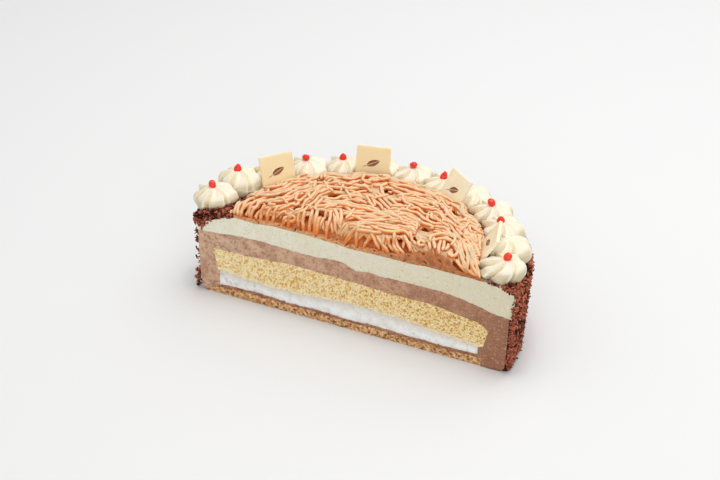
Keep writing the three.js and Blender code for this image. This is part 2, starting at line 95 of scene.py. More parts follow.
# ------------------------------------------------------------------ camera
CAM_AT = np.array([454.09, -873.26, 614.89])
CAM_RIGHT = np.array([0.88843, 0.45896, 0.00711])
CAM_UP = np.array([-0.23109, 0.43385, 0.87085])
CAM_FW = np.array([-0.3966, 0.77533, -0.49151])
FOCAL = 2000.0


def make_camera():
    data = bpy.data.cameras.new("camera")
    data.sensor_fit = "HORIZONTAL"
    data.sensor_width = 36.0
    data.lens = 100.0
    data.clip_start, data.clip_end = 0.05, 50.0
    cam = bpy.data.objects.new("camera", data)
    bpy.context.scene.collection.objects.link(cam)
    at = (CAM_AT + SHIFT) * 0.001
    m = Matrix.Identity(4)
    for k in range(3):
        m[k][0], m[k][1], m[k][2], m[k][3] = CAM_RIGHT[k], CAM_UP[k], -CAM_FW[k], at[k]
    loc, rot, _ = m.decompose()
    cam.rotation_mode = "QUATERNION"
    cam.location, cam.rotation_quaternion = loc, rot
    bpy.context.scene.camera = cam


# ------------------------------------------------------------------ helpers
def smooth(a, b, v):
    t = np.clip((v - a) / (b - a), 0.0, 1.0)
    return t * t * (3 - 2 * t)


def gauss1(z, sigma):
    k = int(math.ceil(3 * sigma))
    w = np.exp(-0.5 * (np.arange(-k, k + 1) / sigma) ** 2)
    w /= w.sum()
    return np.convolve(np.pad(z, k, mode="edge"), w, mode="valid")


def gauss2(a, sigma):
    a = np.apply_along_axis(lambda r: gauss1(r, sigma), 0, a)
    return np.apply_along_axis(lambda r: gauss1(r, sigma), 1, a)


class Curve:
    """A height along the cut, rounded a little between its measured points."""

    def __init__(self, pairs, sigma=1.6):
        self.x = np.arange(-112.0, 112.01, 0.25)
        xs = np.array([p[0] for p in pairs], float)
        zs = np.array([p[1] for p in pairs], float)
        self.z = gauss1(np.interp(self.x, xs, zs), sigma / 0.25)

    def __call__(self, x):
        return np.interp(x, self.x, self.z)

    def round(self, x, y):
        r = np.hypot(x, y)
        w = (1 + x / np.maximum(r, 1e-6)) / 2
        return w * self(r) + (1 - w) * self(-r)


def hashed(ix, iy, iz, seed):
    h = ix.astype(np.uint32) * np.uint32(374761393) + iy.astype(np.uint32) * np.uint32(668265263)
    h = h + iz.astype(np.uint32) * np.uint32(2246822519) + np.uint32(seed * 3266489917 & 0xFFFFFFFF)
    h = (h ^ (h >> np.uint32(15))) * np.uint32(2246822519)
    h = (h ^ (h >> np.uint32(13))) * np.uint32(3266489917)
    return ((h ^ (h >> np.uint32(16))) & np.uint32(0xFFFFFF)).astype(np.float64) / float(0xFFFFFF)


def vnoise(x, y, z, seed):
    x, y, z = np.broadcast_arrays(np.asarray(x, float), np.asarray(y, float), np.asarray(z, float))
    fx, fy, fz = np.floor(x), np.floor(y), np.floor(z)
    ix, iy, iz = fx.astype(np.int64), fy.astype(np.int64), fz.astype(np.int64)
    u, v, w = x - fx, y - fy, z - fz
    u, v, w = (t * t * t * (t * (t * 6 - 15) + 10) for t in (u, v, w))
    out = 0.0
    for a in (0, 1):
        for b in (0, 1):
            for c in (0, 1):
                k = (u if a else 1 - u) * (v if b else 1 - v) * (w if c else 1 - w)
                out = out + k * hashed(ix + a, iy + b, iz + c, seed)
    return out * 2 - 1


def fbm(x, y, z, size, seed, octaves=3, gain=0.5):
    out, amp, tot = 0.0, 1.0, 0.0
    for o in range(octaves):
        f = 2.0 ** o / size
        out = out + amp * vnoise(np.asarray(x) * f + 11.3 * o, np.asarray(y) * f, np.asarray(z) * f, seed + 17 * o)
        tot += amp
        amp *= gain
    return out / tot


class Pits:
    """A depth map over the cut face (x, z) with round holes stamped into it."""

    def __init__(self, x0, x1, z0, z1, step=0.16):
        self.x0, self.z0, self.step = x0, z0, step
        self.nx, self.nz = int((x1 - x0) / step) + 2, int((z1 - z0) / step) + 2
        self.d = np.zeros((self.nz, self.nx))

    def hole(self, x, z, r, depth, flat=1.0, turn=0.0, power=0.5):
        s = self.step
        i0, i1 = max(0, int((x - r - self.x0) / s)), min(self.nx, int((x + r - self.x0) / s) + 2)
        j0, j1 = max(0, int((z - r - self.z0) / s)), min(self.nz, int((z + r - self.z0) / s) + 2)
        if i0 >= i1 or j0 >= j1:
            return
        X = self.x0 + s * np.arange(i0, i1)[None, :] - x
        Z = self.z0 + s * np.arange(j0, j1)[:, None] - z
        c, n = math.cos(turn), math.sin(turn)
        q = ((X * c + Z * n) / r) ** 2 + ((Z * c - X * n) / (r * flat)) ** 2
        win = self.d[j0:j1, i0:i1]
        np.maximum(win, depth * np.maximum(0.0, 1 - q) ** power, out=win)

    def scatter(self, rng, count, x, z, rmin, rmax, power, depth, keep=None, flat=(0.6, 1.0)):
        for _ in range(count):
            px, pz = rng.uniform(*x), rng.uniform(*z)
            r = min(rmax, rmin * (1 - rng.random()) ** (-1.0 / power))
            if keep is not None and not keep(px, pz, r, rng):
                continue
            self.hole(px, pz, r, depth * r, rng.uniform(*flat), rng.uniform(0, math.pi))

    def at(self, x, z):
        u = np.clip((np.asarray(x) - self.x0) / self.step, 0, self.nx - 1.001)
        v = np.clip((np.asarray(z) - self.z0) / self.step, 0, self.nz - 1.001)
        i, j = u.astype(int), v.astype(int)
        a, b = u - i, v - j
        d = self.d
        return (d[j, i] * (1 - a) + d[j, i + 1] * a) * (1 - b) + (d[j + 1, i] * (1 - a) + d[j + 1, i + 1] * a) * b


class Body:
    """Vertices and faces collected for one piece."""

    def __init__(self):
        self.v, self.f, self.n = [], [], 0
        self.extra = {}

    def add(self, pts, **attrs):
        pts = np.asarray(pts, float).reshape(-1, 3)
        ids = np.arange(self.n, self.n + len(pts))
        self.v.append(pts)
        self.n += len(pts)
        for k in set(self.extra) | set(attrs):
            have = self.extra.setdefault(k, [])
            done = sum(len(a) for a in have)
            if done < self.n - len(pts):
                have.append(np.zeros(self.n - len(pts) - done))
            have.append(np.broadcast_to(np.asarray(attrs.get(k, 0.0), float), (len(pts),)).copy())
        return ids

    def faces(self, f):
        f = np.asarray(f, np.int64)
        if len(f):
            self.f.append(f)

    def grid(self, ids, flip=False):
        a, b, c, d = ids[:-1, :-1], ids[1:, :-1], ids[1:, 1:], ids[:-1, 1:]
        q = np.stack([a, b, c, d], -1).reshape(-1, 4)
        self.faces(q[:, ::-1] if flip else q)

    def zipped(self, fine, coarse, picks):
        """Triangles between a fine line and the coarse line taken from it at the places named by picks."""
        tris = []
        for k in range(len(picks) - 1):
            a, b = picks[k], picks[k + 1]
            mid = (a + b) // 2
            tris += [(fine[q], fine[q + 1], coarse[k]) for q in range(a, mid)]
            tris.append((coarse[k], fine[mid], coarse[k + 1]))
            tris += [(fine[q], fine[q + 1], coarse[k + 1]) for q in range(mid, b)]
        self.faces(tris)


def make_piece(name, body, material, replaces=(), weld=False, smooth_shade=True):
    v = (np.concatenate(body.v) + SHIFT) * 0.001
    me = bpy.data.meshes.new(name)
    me.vertices.add(len(v))
    me.vertices.foreach_set("co", v.astype(np.float32).ravel())
    loops = np.concatenate([f.ravel() for f in body.f]).astype(np.int32)
    sizes = np.concatenate([np.full(len(f), f.shape[1]) for f in body.f])
    me.loops.add(len(loops))
    me.loops.foreach_set("vertex_index", loops)
    me.polygons.add(len(sizes))
    me.polygons.foreach_set("loop_start", (np.cumsum(sizes) - sizes).astype(np.int32))
    me.update(calc_edges=True)
    for k, parts in body.extra.items():
        a = np.concatenate(parts)
        if len(a) < len(v):
            a = np.concatenate([a, np.zeros(len(v) - len(a))])
        me.attributes.new(k, "FLOAT", "POINT").data.foreach_set("value", a.astype(np.float32))
    if weld:
        bm = bmesh.new()
        bm.from_mesh(me)
        bmesh.ops.remove_doubles(bm, verts=bm.verts, dist=2e-6)
        bmesh.ops.dissolve_degenerate(bm, edges=bm.edges, dist=1e-7)
        bmesh.ops.recalc_face_normals(bm, faces=bm.faces)
        bm.to_mesh(me)
        bm.free()
    me.validate()
    me.polygons.foreach_set("use_smooth", np.full(len(me.polygons), smooth_shade))
    me.update()
    for m in (material if isinstance(material, (list, tuple)) else [material]):
        me.materials.append(m)
    ob = bpy.data.objects.new(name, me)
    bpy.context.scene.collection.objects.link(ob)
    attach(ob, "root")
    if replaces:
        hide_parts(*replaces)
    return ob


# ---------------------------------------------------------------- materials
def lin(r, g, b):
    def one(c):
        c /= 255.0
        return c / 12.92 if c <= 0.04045 else ((c + 0.055) / 1.055) ** 2.4
    return (one(r), one(g), one(b), 1.0)


class Mat:
    def __init__(self, name):
        self.m = bpy.data.materials.new(name)
        self.m.use_nodes = True
        self.t = self.m.node_tree
        self.t.nodes.clear()
        self.out = self.t.nodes.new("ShaderNodeOutputMaterial")
        self.b = self.t.nodes.new("ShaderNodeBsdfPrincipled")
        self.t.links.new(self.b.outputs[0], self.out.inputs["Surface"])
        self.co = self.t.nodes.new("ShaderNodeTexCoord").outputs["Object"]

    def put(self, **kw):
        for k, v in kw.items():
            self.b.inputs[k.replace("_", " ")].default_value = v

    def link(self, a, b):
        self.t.links.new(a, b)

    def noise(self, size_mm, detail=3.0, rough=0.55, stretch=None, distort=0.0):
        n = self.t.nodes.new("ShaderNodeTexNoise")
        n.inputs["Scale"].default_value = 1000.0 / size_mm
        n.inputs["Detail"].default_value = detail
        n.inputs["Roughness"].default_value = rough
        n.inputs["Distortion"].default_value = distort
        if stretch:
            mp = self.t.nodes.new("ShaderNodeMapping")
            mp.inputs["Scale"].default_value = stretch
            self.link(self.co, mp.inputs["Vector"])
            self.link(mp.outputs[0], n.inputs["Vector"])
        else:
            self.link(self.co, n.inputs["Vector"])
        return n.outputs["Fac"]

    def cells(self, size_mm, feature="F1", smoothness=0.0):
        n = self.t.nodes.new("ShaderNodeTexVoronoi")
        n.feature = feature
        n.inputs["Scale"].default_value = 1000.0 / size_mm
        self.link(self.co, n.inputs["Vector"])
        return n.outputs["Distance"]

    def attr(self, name):
        n = self.t.nodes.new("ShaderNodeAttribute")
        n.attribute_name = name
        return n.outputs["Fac"]

    def span(self, value, a, b, lo=0.0, hi=1.0):
        n = self.t.nodes.new("ShaderNodeMapRange")
        n.inputs["From Min"].default_value = a
        n.inputs["From Max"].default_value = b
        n.inputs["To Min"].default_value = lo
        n.inputs["To Max"].default_value = hi
        self.link(value, n.inputs["Value"])
        return n.outputs["Result"]

    def math(self, op, a, b=None, c=None):
        n = self.t.nodes.new("ShaderNodeMath")
        n.operation = op
        for k, v in enumerate((a, b, c)):
            if v is None:
                continue
            if isinstance(v, (int, float)):
                n.inputs[k].default_value = v
            else:
                self.link(v, n.inputs[k])
        return n.outputs[0]

    def mix(self, fac, a, b, kind="MIX"):
        n = self.t.nodes.new("ShaderNodeMix")
        n.data_type = "RGBA"
        n.blend_type = kind
        for sock, v in ((n.inputs[0], fac), (n.inputs[6], a), (n.inputs[7], b)):
            if isinstance(v, tuple):
                sock.default_value = v
            elif isinstance(v, (int, float)):
                sock.default_value = v
            else:
                self.link(v, sock)
        return n.outputs[2]

    def bump(self, height, depth_mm, strength=1.0):
        n = self.t.nodes.new("ShaderNodeBump")
        n.inputs["Strength"].default_value = strength
        n.inputs["Distance"].default_value = depth_mm * 0.001
        self.link(height, n.inputs["Height"])
        if getattr(self, "_bump", None) is not None:
            self.link(self._bump, n.inputs["Normal"])
        self._bump = n.outputs[0]
        self.link(n.outputs[0], self.b.inputs["Normal"])

    def color(self, v):
        if isinstance(v, tuple):
            self.b.inputs["Base Color"].default_value = v
        else:
            self.link(v, self.b.inputs["Base Color"])

    def xyz(self):
        n = self.t.nodes.new("ShaderNodeSeparateXYZ")
        self.link(self.co, n.inputs[0])
        return n.outputs


def soft(m, weight, radius, scale_mm):
    m.put(Subsurface_Weight=weight, Subsurface_Radius=radius, Subsurface_Scale=scale_mm * 0.001)


def mat_sponge():
    m = Mat("sponge")
    x = m.xyz()[0]
    # painted light: the cut face is coloured lighter towards its left end, where more light falls on it
    side = m.span(x, -0.09, 0.09)
    base = m.mix(side, lin(252, 239, 196), lin(245, 221, 160))
    pore = m.mix(side, lin(228, 176, 66), lin(198, 142, 44))
    c = m.mix(m.span(m.noise(1.2, 3, 0.6), 0.50, 0.62, 0, 0.9), base, lin(251, 242, 212))
    c = m.mix(m.span(m.noise(4.5, 2), 0.50, 0.72, 0, 0.3), c, lin(232, 192, 112))
    c = m.mix(m.span(m.noise(0.8, 3, 0.7), 0.50, 0.62, 0, 0.55), c, lin(222, 176, 90))
    # painted shade: the holes are coloured a darker gold
    c = m.mix(m.span(m.attr("pit"), 0.10, 0.7, 0, 0.95), c, pore)
    c = m.mix(m.span(m.attr("low"), 0.84, 1.0, 0, 0.75), c, lin(242, 233, 204))
    m.color(c)
    m.put(Roughness=0.85)
    m.bump(m.noise(0.7, 3, 0.65), 0.2)
    soft(m, 0.15, (1.0, 0.6, 0.3), 0.6)
    return m.m


def mat_cream():
    m = Mat("ivory_cream")
    x = m.xyz()[0]
    # painted light: lighter towards the left end of the cut, where more light falls
    side = m.span(x, -0.10, 0.10)
    base = m.mix(side, lin(241, 238, 222), lin(220, 212, 187))
    c = m.mix(m.span(m.noise(9, 3), 0.42, 0.70, 0, 0.35), base, lin(222, 213, 178))
    c = m.mix(m.span(m.noise(1.6, 3, 0.6), 0.54, 0.70, 0, 0.5), c, lin(243, 240, 226))
    c = m.mix(m.span(m.noise(0.8, 3, 0.7), 0.50, 0.66, 0, 0.45), c, lin(208, 198, 166))
    # painted shade: the bubble holes are coloured darker yellow
    c = m.mix(m.span(m.attr("pit"), 0.12, 0.7, 0, 0.9), c, lin(220, 194, 124))
    m.color(c)
    m.put(Roughness=0.62)
    m.bump(m.noise(1.0, 4, 0.65), 0.13)
    soft(m, 0.2, (1.0, 0.85, 0.6), 0.8)
    return m.m


def mat_mousse():
    m = Mat("chestnut_mousse")
    x = m.xyz()[0]
    # painted light and shade: lighter towards the left of the cut and darkest on the right wall, where less light falls
    base = m.mix(m.span(x, -0.07, 0.06), lin(214, 178, 149), lin(192, 142, 108))
    base = m.mix(m.span(x, 0.058, 0.094), base, lin(155, 104, 74))
    dark = m.mix(m.span(x, -0.07, 0.09), lin(172, 124, 94), lin(140, 88, 60))
    c = m.mix(m.span(m.noise(6, 4), 0.42, 0.66, 0, 0.75), base, dark)
    c = m.mix(m.span(m.noise(2.6, 3, 0.6, (1.0, 1.0, 2.4)), 0.56, 0.74, 0, 0.5), c, lin(214, 176, 144))
    c = m.mix(m.span(m.noise(1.1, 4, 0.65), 0.54, 0.68, 0, 0.6), c, lin(218, 182, 150))
    c = m.mix(m.span(m.noise(2.0, 4, 0.7), 0.50, 0.62, 0, 0.7), c, lin(152, 100, 74))
    # painted shade: the holes are coloured darker
    c = m.mix(m.span(m.attr("pit"), 0.15, 0.9, 0, 0.75), c, lin(136, 82, 58))
    m.color(c)
    m.put(Roughness=0.6)
    m.bump(m.noise(0.9, 4, 0.65), 0.2)
    soft(m, 0.12, (1.0, 0.6, 0.4), 0.6)
    return m.m


def mat_white():
    m = Mat("white_cream")
    c = m.mix(m.span(m.noise(4, 3), 0.42, 0.68), lin(244, 245, 243), lin(228, 227, 222))
    # painted shade: the holes are coloured grey
    c = m.mix(m.span(m.attr("pit"), 0.15, 0.9, 0, 0.6), c, lin(204, 200, 192))
    c = m.mix(m.span(m.attr("low"), 0.0, 0.55, 0.55, 0.0), c, lin(206, 186, 168))
    m.color(c)
    m.put(Roughness=0.7)
    m.bump(m.noise(0.8, 3, 0.6), 0.12)
    soft(m, 0.3, (1.0, 0.95, 0.9), 1.0)
    return m.m


def mat_biscuit():
    m = Mat("biscuit")
    c = m.mix(m.span(m.noise(1.5, 3, 0.6), 0.40, 0.60), lin(190, 132, 74), lin(244, 204, 152))
    c = m.mix(m.span(m.noise(5, 2), 0.50, 0.72, 0, 0.4), c, lin(190, 134, 82))
    # painted shade: the holes are coloured dark brown
    c = m.mix(m.span(m.attr("pit"), 0.2, 1.0, 0, 0.8), c, lin(124, 74, 38))
    m.color(c)
    m.put(Roughness=0.9)
    m.bump(m.noise(0.6, 3, 0.7), 0.25)
    return m.m


def mat_film():
    m = Mat("brown_film")
    c = m.mix(m.span(m.noise(2.4, 3), 0.38, 0.66), lin(186, 132, 98), lin(136, 80, 50))
    c = m.mix(m.span(m.attr("low"), 0.5, 1.0, 0, 0.6), c, lin(112, 60, 38))
    m.color(c)
    m.put(Roughness=0.45)
    m.bump(m.noise(0.7, 3), 0.12)
    return m.m


def mat_strands():
    m = Mat("chestnut_strands_mat")
    # painted light and shade: pale where deep is low, on the strands' upper sides, and orange where it is high, on
    # their sides and down between strands, as light glowing through the paste
    d = m.attr("deep")
    c = m.mix(m.span(d, 0.08, 0.46), lin(244, 208, 168), lin(232, 158, 96))
    c = m.mix(m.span(d, 0.32, 0.78), c, lin(240, 128, 42))
    c = m.mix(m.span(m.noise(2.5, 3), 0.50, 0.75, 0, 0.4), c, lin(228, 166, 112))
    m.color(c)
    m.put(Roughness=0.5)
    m.b.inputs["Specular IOR Level"].default_value = 0.12
    m.bump(m.noise(0.5, 3, 0.6), 0.05)
    soft(m, 0.35, (1.0, 0.42, 0.15), 1.1)
    return m.m


def mat_core():
    m = Mat("smeared_paste")
    x = m.xyz()[0]
    # painted light and shade: lit is the paste as light falls on it and low the same paste in shade, both darker
    # towards the right end of the cut; noise mixes them in patches
    lit = m.mix(m.span(x, 0.0, 0.05), lin(226, 176, 130), lin(196, 132, 88))
    low = m.mix(m.span(x, 0.0, 0.05), lin(208, 148, 98), lin(164, 100, 62))
    c = m.mix(m.span(m.noise(3.0, 4, 0.6), 0.42, 0.62), lit, low)
    c = m.mix(m.span(m.noise(1.1, 3), 0.48, 0.64, 0, 0.75), c, lin(172, 98, 54))
    # painted shade: the holes and the heap's openings are coloured dark
    c = m.mix(m.span(m.attr("pit"), 0.15, 1.0, 0, 0.85), c, lin(150, 70, 32))
    # painted shade tinted orange: deep marks the band's top edge, its grooves and the paste down between the strands
    c = m.mix(m.attr("deep"), c, lin(232, 124, 50))
    m.color(c)
    m.put(Roughness=0.6)
    m.b.inputs["Specular IOR Level"].default_value = 0.12
    m.bump(m.noise(0.6, 3, 0.65), 0.10)
    soft(m, 0.12, (1.0, 0.5, 0.25), 0.7)
    return m.m


def mat_flakes(name, a, b, dark):
    m = Mat(name)
    c = m.mix(m.attr("tone"), a, b)
    c = m.mix(m.span(m.noise(1.6, 2), 0.55, 0.8, 0, 0.6), c, dark)
    m.color(c)
    m.put(Roughness=0.55)
    m.b.inputs["Specular IOR Level"].default_value = 0.12
    m.bump(m.noise(0.4, 2), 0.05)
    return m.m


def mat_whipped():
    m = Mat("whipped_cream")
    c = m.mix(m.span(m.noise(8, 2), 0.42, 0.68), lin(246, 238, 220), lin(243, 232, 207))
    c = m.mix(m.span(m.noise(3.5, 3), 0.50, 0.72, 0, 0.4), c, lin(240, 225, 192))
    # painted shade: the creases are tinted yellow
    c = m.mix(m.span(m.attr("pit"), 0.15, 1.0, 0, 0.8), c, lin(249, 236, 196))
    # painted shade: the petal walls below the rims are coloured olive grey
    c = m.mix(m.span(m.attr("low"), 0.1, 0.9, 0, 0.8), c, lin(210, 197, 160))
    m.color(c)
    m.put(Roughness=0.5)
    m.bump(m.noise(1.0, 3, 0.6), 0.06)
    soft(m, 0.35, (1.0, 0.82, 0.5), 1.8)
    return m.m


def mat_plaque():
    m = Mat("white_chocolate")
    x = m.xyz()[0]
    base = m.mix(m.span(x, 0.0, 0.03), lin(251, 235, 188), lin(253, 244, 214))
    c = m.mix(m.span(m.noise(9, 2), 0.42, 0.66, 0, 0.5), base, lin(249, 230, 180))
    m.color(c)
    m.put(Roughness=0.38)
    m.bump(m.noise(1.6, 3, 0.6), 0.03)
    return m.m


def mat_print():
    m = Mat("dark_chocolate")
    c = m.mix(m.span(m.noise(0.8, 2), 0.4, 0.7), lin(134, 84, 46), lin(164, 110, 64))
    m.color(c)
    m.put(Roughness=0.4)
    m.bump(m.noise(0.4, 2), 0.03)
    return m.m


def mat_jelly():
    m = Mat("jelly")
    c = m.mix(m.span(m.noise(1.6, 2), 0.35, 0.7), lin(246, 62, 26), lin(232, 34, 14))
    m.color(c)
    m.put(Roughness=0.07, IOR=1.5)
    m.bump(m.noise(1.5, 1), 0.04)
    soft(m, 0.15, (1.0, 0.3, 0.12), 1.0)
    return m.m


# ------------------------------------------------------------ layers of the cut
C_BISCUIT, C_FILM, C_WHITE = Curve(BISCUIT_TOP), Curve(FILM_TOP), Curve(WHITE_TOP)
C_SPONGE, C_MOUSSE, C_CREAM = Curve(SPONGE_TOP, 1.2), Curve(MOUSSE_TOP, 1.0), Curve(CREAM_TOP, 1.2)
C_BAND = Curve(BAND, 1.0)


def wobble(curve, seed, big, small):
    """The border as the cut shows it: a little uneven."""
    x = curve.x
    out = Curve([(0, 0)])
    out.x = x
    out.z = curve.z + big * fbm(x, 0, 0, 7.0, seed, 3) + small * fbm(x, 5, 0, 1.1, seed + 3, 2)
    return out


W_BISCUIT = wobble(C_BISCUIT, 101, 0.45, 0.28)
W_FILM = wobble(C_FILM, 102, 0.35, 0.22)
W_WHITE = wobble(C_WHITE, 103, 0.50, 0.25)
W_SPONGE = wobble(C_SPONGE, 104, 0.35, 0.25)
W_MOUSSE = wobble(C_MOUSSE, 105, 0.35, 0.34)
W_CREAM = wobble(C_CREAM, 106, 0.25, 0.26)
W_BAND = wobble(C_BAND, 107, 0.8, 0.5)
BACK = 1.3      # depth at which the plain body behind the cut face begins


def solid_from_front(body, V, right, left, counts, turns=36, edge_in=0.0):
    """Closes a dense cut face with the half turn of its own outline behind it."""
    def coarse(segs):
        line, picks = [], []
        for seg, cnt in zip(segs, counts):
            start = len(line) - 1 if line else 0
            line += list(seg) if not line else list(seg[1:])
            p = [start + int(round(f * (len(seg) - 1))) for f in np.linspace(0, 1, cnt + 1)]
            picks += p if not picks else p[1:]
        return np.array(line), picks
    lr, pr = coarse(right)
    ll, pl = coarse(left)
    PR, PL = V[lr[pr]], V[ll[pl]]
    rmax = max(PR[:, 0].max(), -PL[:, 0].min())
    rings = []
    for k in range(turns + 1):
        a = math.pi * k / turns
        w = (1 + math.cos(a)) / 2
        R = (w * PR[:, 0] - (1 - w) * PL[:, 0]) * (1 - edge_in / rmax * smooth(0.02, 0.16, math.sin(a)))
        rr = R / math.hypot(math.cos(a), math.sin(a) / FLATTER)
        z = w * PR[:, 2] + (1 - w) * PL[:, 2]
        y = BACK + rr * math.sin(a) * (1 - BACK / (rmax * FLATTER))
        rings.append(body.add(np.stack([rr * math.cos(a), y, z], 1)))
    body.grid(np.array(rings))
    body.zipped(lr, rings[0], pr)
    body.zipped(ll, rings[-1], pl)


def simple_layer(name, low, top, r_low, r_top, n, m, relief, material, node, edge_in=0.0):
    s = np.linspace(-1, 1, n + 1)[:, None]
    v = np.linspace(0, 1, m + 1)[None, :]
    RL = r_low[0] + (r_top[0] - r_low[0]) * v
    RR = r_low[1] + (r_top[1] - r_low[1]) * v
    X = np.where(s < 0, s * RL, s * RR)
    lo, hi = low(X[:, 0]), top(X[:, -1])
    Z = lo[:, None] * (1 - v) + hi[:, None] * v
    D, pit = relief(X, Z, np.broadcast_to(v, X.shape))
    b = Body()
    V = np.stack([X, D, Z], -1).reshape(-1, 3)
    ids = b.add(V, pit=pit.ravel(), low=np.broadcast_to(1 - v, X.shape).ravel()).reshape(n + 1, m + 1)
    b.grid(ids)
    h = n // 2
    right = [ids[h:, 0], ids[n, :], ids[h:, m][::-1]]
    left = [ids[:h + 1, 0][::-1], ids[0, :], ids[:h + 1, m]]
    solid_from_front(b, V, right, left, (10, 2, 10), edge_in=edge_in)
    return make_piece(name, b, material, (node,), weld=True)


def relief_biscuit(X, Z, v):
    rng = np.random.default_rng(11)
    p = Pits(-96, 86, -1, 8)
    p.scatter(rng, 2600, (-95, 85), (-0.5, 6), 0.22, 1.1, 2.4, 0.95)
    pit = p.at(X, Z)
    g = fbm(X, Z, 0, 1.5, 12, 3)
    return np.clip(0.35 + 0.30 * g + 0.8 * pit, -0.15, 1.15), np.clip(pit / 0.8, 0, 1)


def relief_film(X, Z, v):
    g = fbm(X, Z, 0, 1.6, 14, 3)
    tear = smooth(0.45, 1.0, v) * (0.35 + 0.45 * fbm(X, 0, 0, 3.0, 15, 3))
    return np.clip(0.3 + 0.25 * g + tear, 0, 1.15), np.clip(tear, 0, 1)


def relief_white(X, Z, v):
    rng = np.random.default_rng(21)
    p = Pits(-88, 84, 4, 19)
    p.scatter(rng, 420, (-87, 83), (5, 18), 0.2, 0.8, 2.2, 0.7)
    p.scatter(rng, 60, (-86, -62), (7, 15), 0.5, 1.3, 2.0, 0.6)
    pit = p.at(X, Z)
    g = fbm(X, Z, 0, 2.6, 22, 4)
    ragged = smooth(0.22, 0.0, v) * (0.35 + 0.4 * fbm(X, 3, 0, 1.8, 23, 3))
    return np.clip(0.25 + 0.24 * g + 0.8 * pit + ragged, -0.1, 1.2), np.clip(pit / 0.7, 0, 1)


def relief_sponge(X, Z, v):
    rng = np.random.default_rng(31)
    p = Pits(-92, 90, 11, 35)
    p.scatter(rng, 9600, (-91, 89), (12, 34), 0.20, 0.56, 2.2, 1.15)
    p.scatter(rng, 260, (-91, 89), (14, 33), 0.5, 0.95, 2.6, 0.85)
    pit = p.at(X, Z)
    g = fbm(X, Z, 0, 3.0, 32, 4)
    return np.clip(0.12 + 0.20 * g + pit, -0.2, 1.2), np.clip(pit / 0.75, 0, 1)


def relief_cream(X, Z, v):
    rng = np.random.default_rng(41)
    p = Pits(-103, 106, 34, 58)
    p.scatter(rng, 4200, (-102, 105), (35, 56), 0.15, 0.38, 2.2, 0.8)
    p.scatter(rng, 90, (-102, 105), (35, 56), 0.32, 0.7, 2.6, 0.6)
    pit = p.at(X, Z)
    g = fbm(X, Z * 1.6, 0, 8.0, 42, 3)
    f = fbm(X, Z, 0, 1.3, 43, 3)
    return np.clip(0.10 + 0.16 * g + 0.07 * f + pit, -0.15, 0.9), np.clip(pit / 0.35, 0, 1)


def relief_mousse(X, Z, v):
    rng = np.random.default_rng(51)
    p = Pits(-102, 102, -1, 46)
    p.scatter(rng, 5200, (-101, 101), (0, 45), 0.14, 0.5, 2.6, 0.7)
    pit = p.at(X, Z)
    g = fbm(X, Z, 0, 6.0, 52, 3)
    f = fbm(X, Z, 0, 1.2, 53, 3)
    return np.clip(0.15 + 0.16 * g + 0.10 * f + pit, -0.15, 1.0), np.clip(pit / 0.45, 0, 1)


def resample(points, count):
    p = np.asarray(points, float)
    d = np.r_[0, np.cumsum(np.hypot(*np.diff(p, axis=0).T))]
    t = np.linspace(0, d[-1], count)
    return np.stack([np.interp(t, d, p[:, 0]), np.interp(t, d, p[:, 1])], 1)


def mousse_piece(material):
    """The mousse shows as an arch: up the left wall, over the sponge, down the right wall."""
    def foot(side):
        r = R_FOOT[side]
        xs = np.linspace(r - 4.0, r, 9)
        return [(x, 2.6 * ((x - r + 4.0) / 4.0) ** 2) for x in xs]
    nl, nt, m = 130, 640, 34
    fl = foot(0)
    inner_l = resample([(-94, 0), (-94, W_BISCUIT(-94)), (-88, W_BISCUIT(-88)), (-88, W_FILM(-88)), (-86, W_FILM(-86)), (-86, W_WHITE(-86)), (-87, W_WHITE(-87)), (-90, W_SPONGE(-90))], nl)
    outer_l = resample([(-fl[-1][0], fl[-1][1]), (-99.2, 14), (-99.8, 27), (-100, W_MOUSSE(-100))], nl)
    inner_r = resample([(88, W_SPONGE(88)), (85, W_WHITE(85)), (82, W_WHITE(82)), (82, W_FILM(82)), (82.5, W_FILM(82.5)), (82.5, W_BISCUIT(82.5)), (84, W_BISCUIT(84)), (84, 0)], nl)
    outer_r = resample([(100, W_MOUSSE(100)), (99.8, 24), (99.3, 12), (fl[-1][0] + 0.2, fl[-1][1])], nl)
    t = np.linspace(0, 1, nt)
    xi, xo = -90 + 178 * t, -100 + 200 * t
    inner_t = np.stack([xi, W_SPONGE(xi)], 1)
    outer_t = np.stack([xo, W_MOUSSE(xo)], 1)
    inner = np.concatenate([inner_l[:-1], inner_t, inner_r[1:]])
    outer = np.concatenate([outer_l[:-1], outer_t, outer_r[1:]])
    v = np.linspace(0, 1, m + 1)[None, :, None]
    P = inner[:, None, :] * (1 - v) + outer[:, None, :] * v
    # the lower ends follow the rounded foot
    for row, side, sign in ((0, 0, -1), (-1, 1, 1)):
        rise = 2.6 * np.clip((np.abs(P[row, :, 0]) - R_FOOT[side] + 4.0) / 4.0, 0, 1) ** 2
        P[row, :, 1] = rise
    X, Z = P[..., 0], P[..., 1]
    D, pit = relief_mousse(X, Z, None)
    b = Body()
    V = np.stack([X, D, Z], -1).reshape(-1, 3)
    n = len(inner)
    ids = b.add(V, pit=pit.ravel()).reshape(n, m + 1)
    b.grid(ids)
    h = int(np.argmin(np.abs(inner[:, 0] * 0.5 + outer[:, 0] * 0.5)))
    right = [ids[h:, 0], ids[-1, :], ids[h:, m][::-1]]
    left = [ids[:h + 1, 0][::-1], ids[0, :], ids[:h + 1, m]]
    solid_from_front(b, V, right, left, (22, 6, 22))
    return make_piece("mousse", b, material, ("chestnut_mousse",), weld=True)


# --------------------------------------------------------------- strand heap
def blend_r(pair, a):
    w = (1 + np.cos(a)) / 2
    return w * pair[1] + (1 - w) * pair[0]


def outline(pair, a):
    return blend_r(pair, a) / np.hypot(np.cos(a), np.sin(a) / FLATTER)


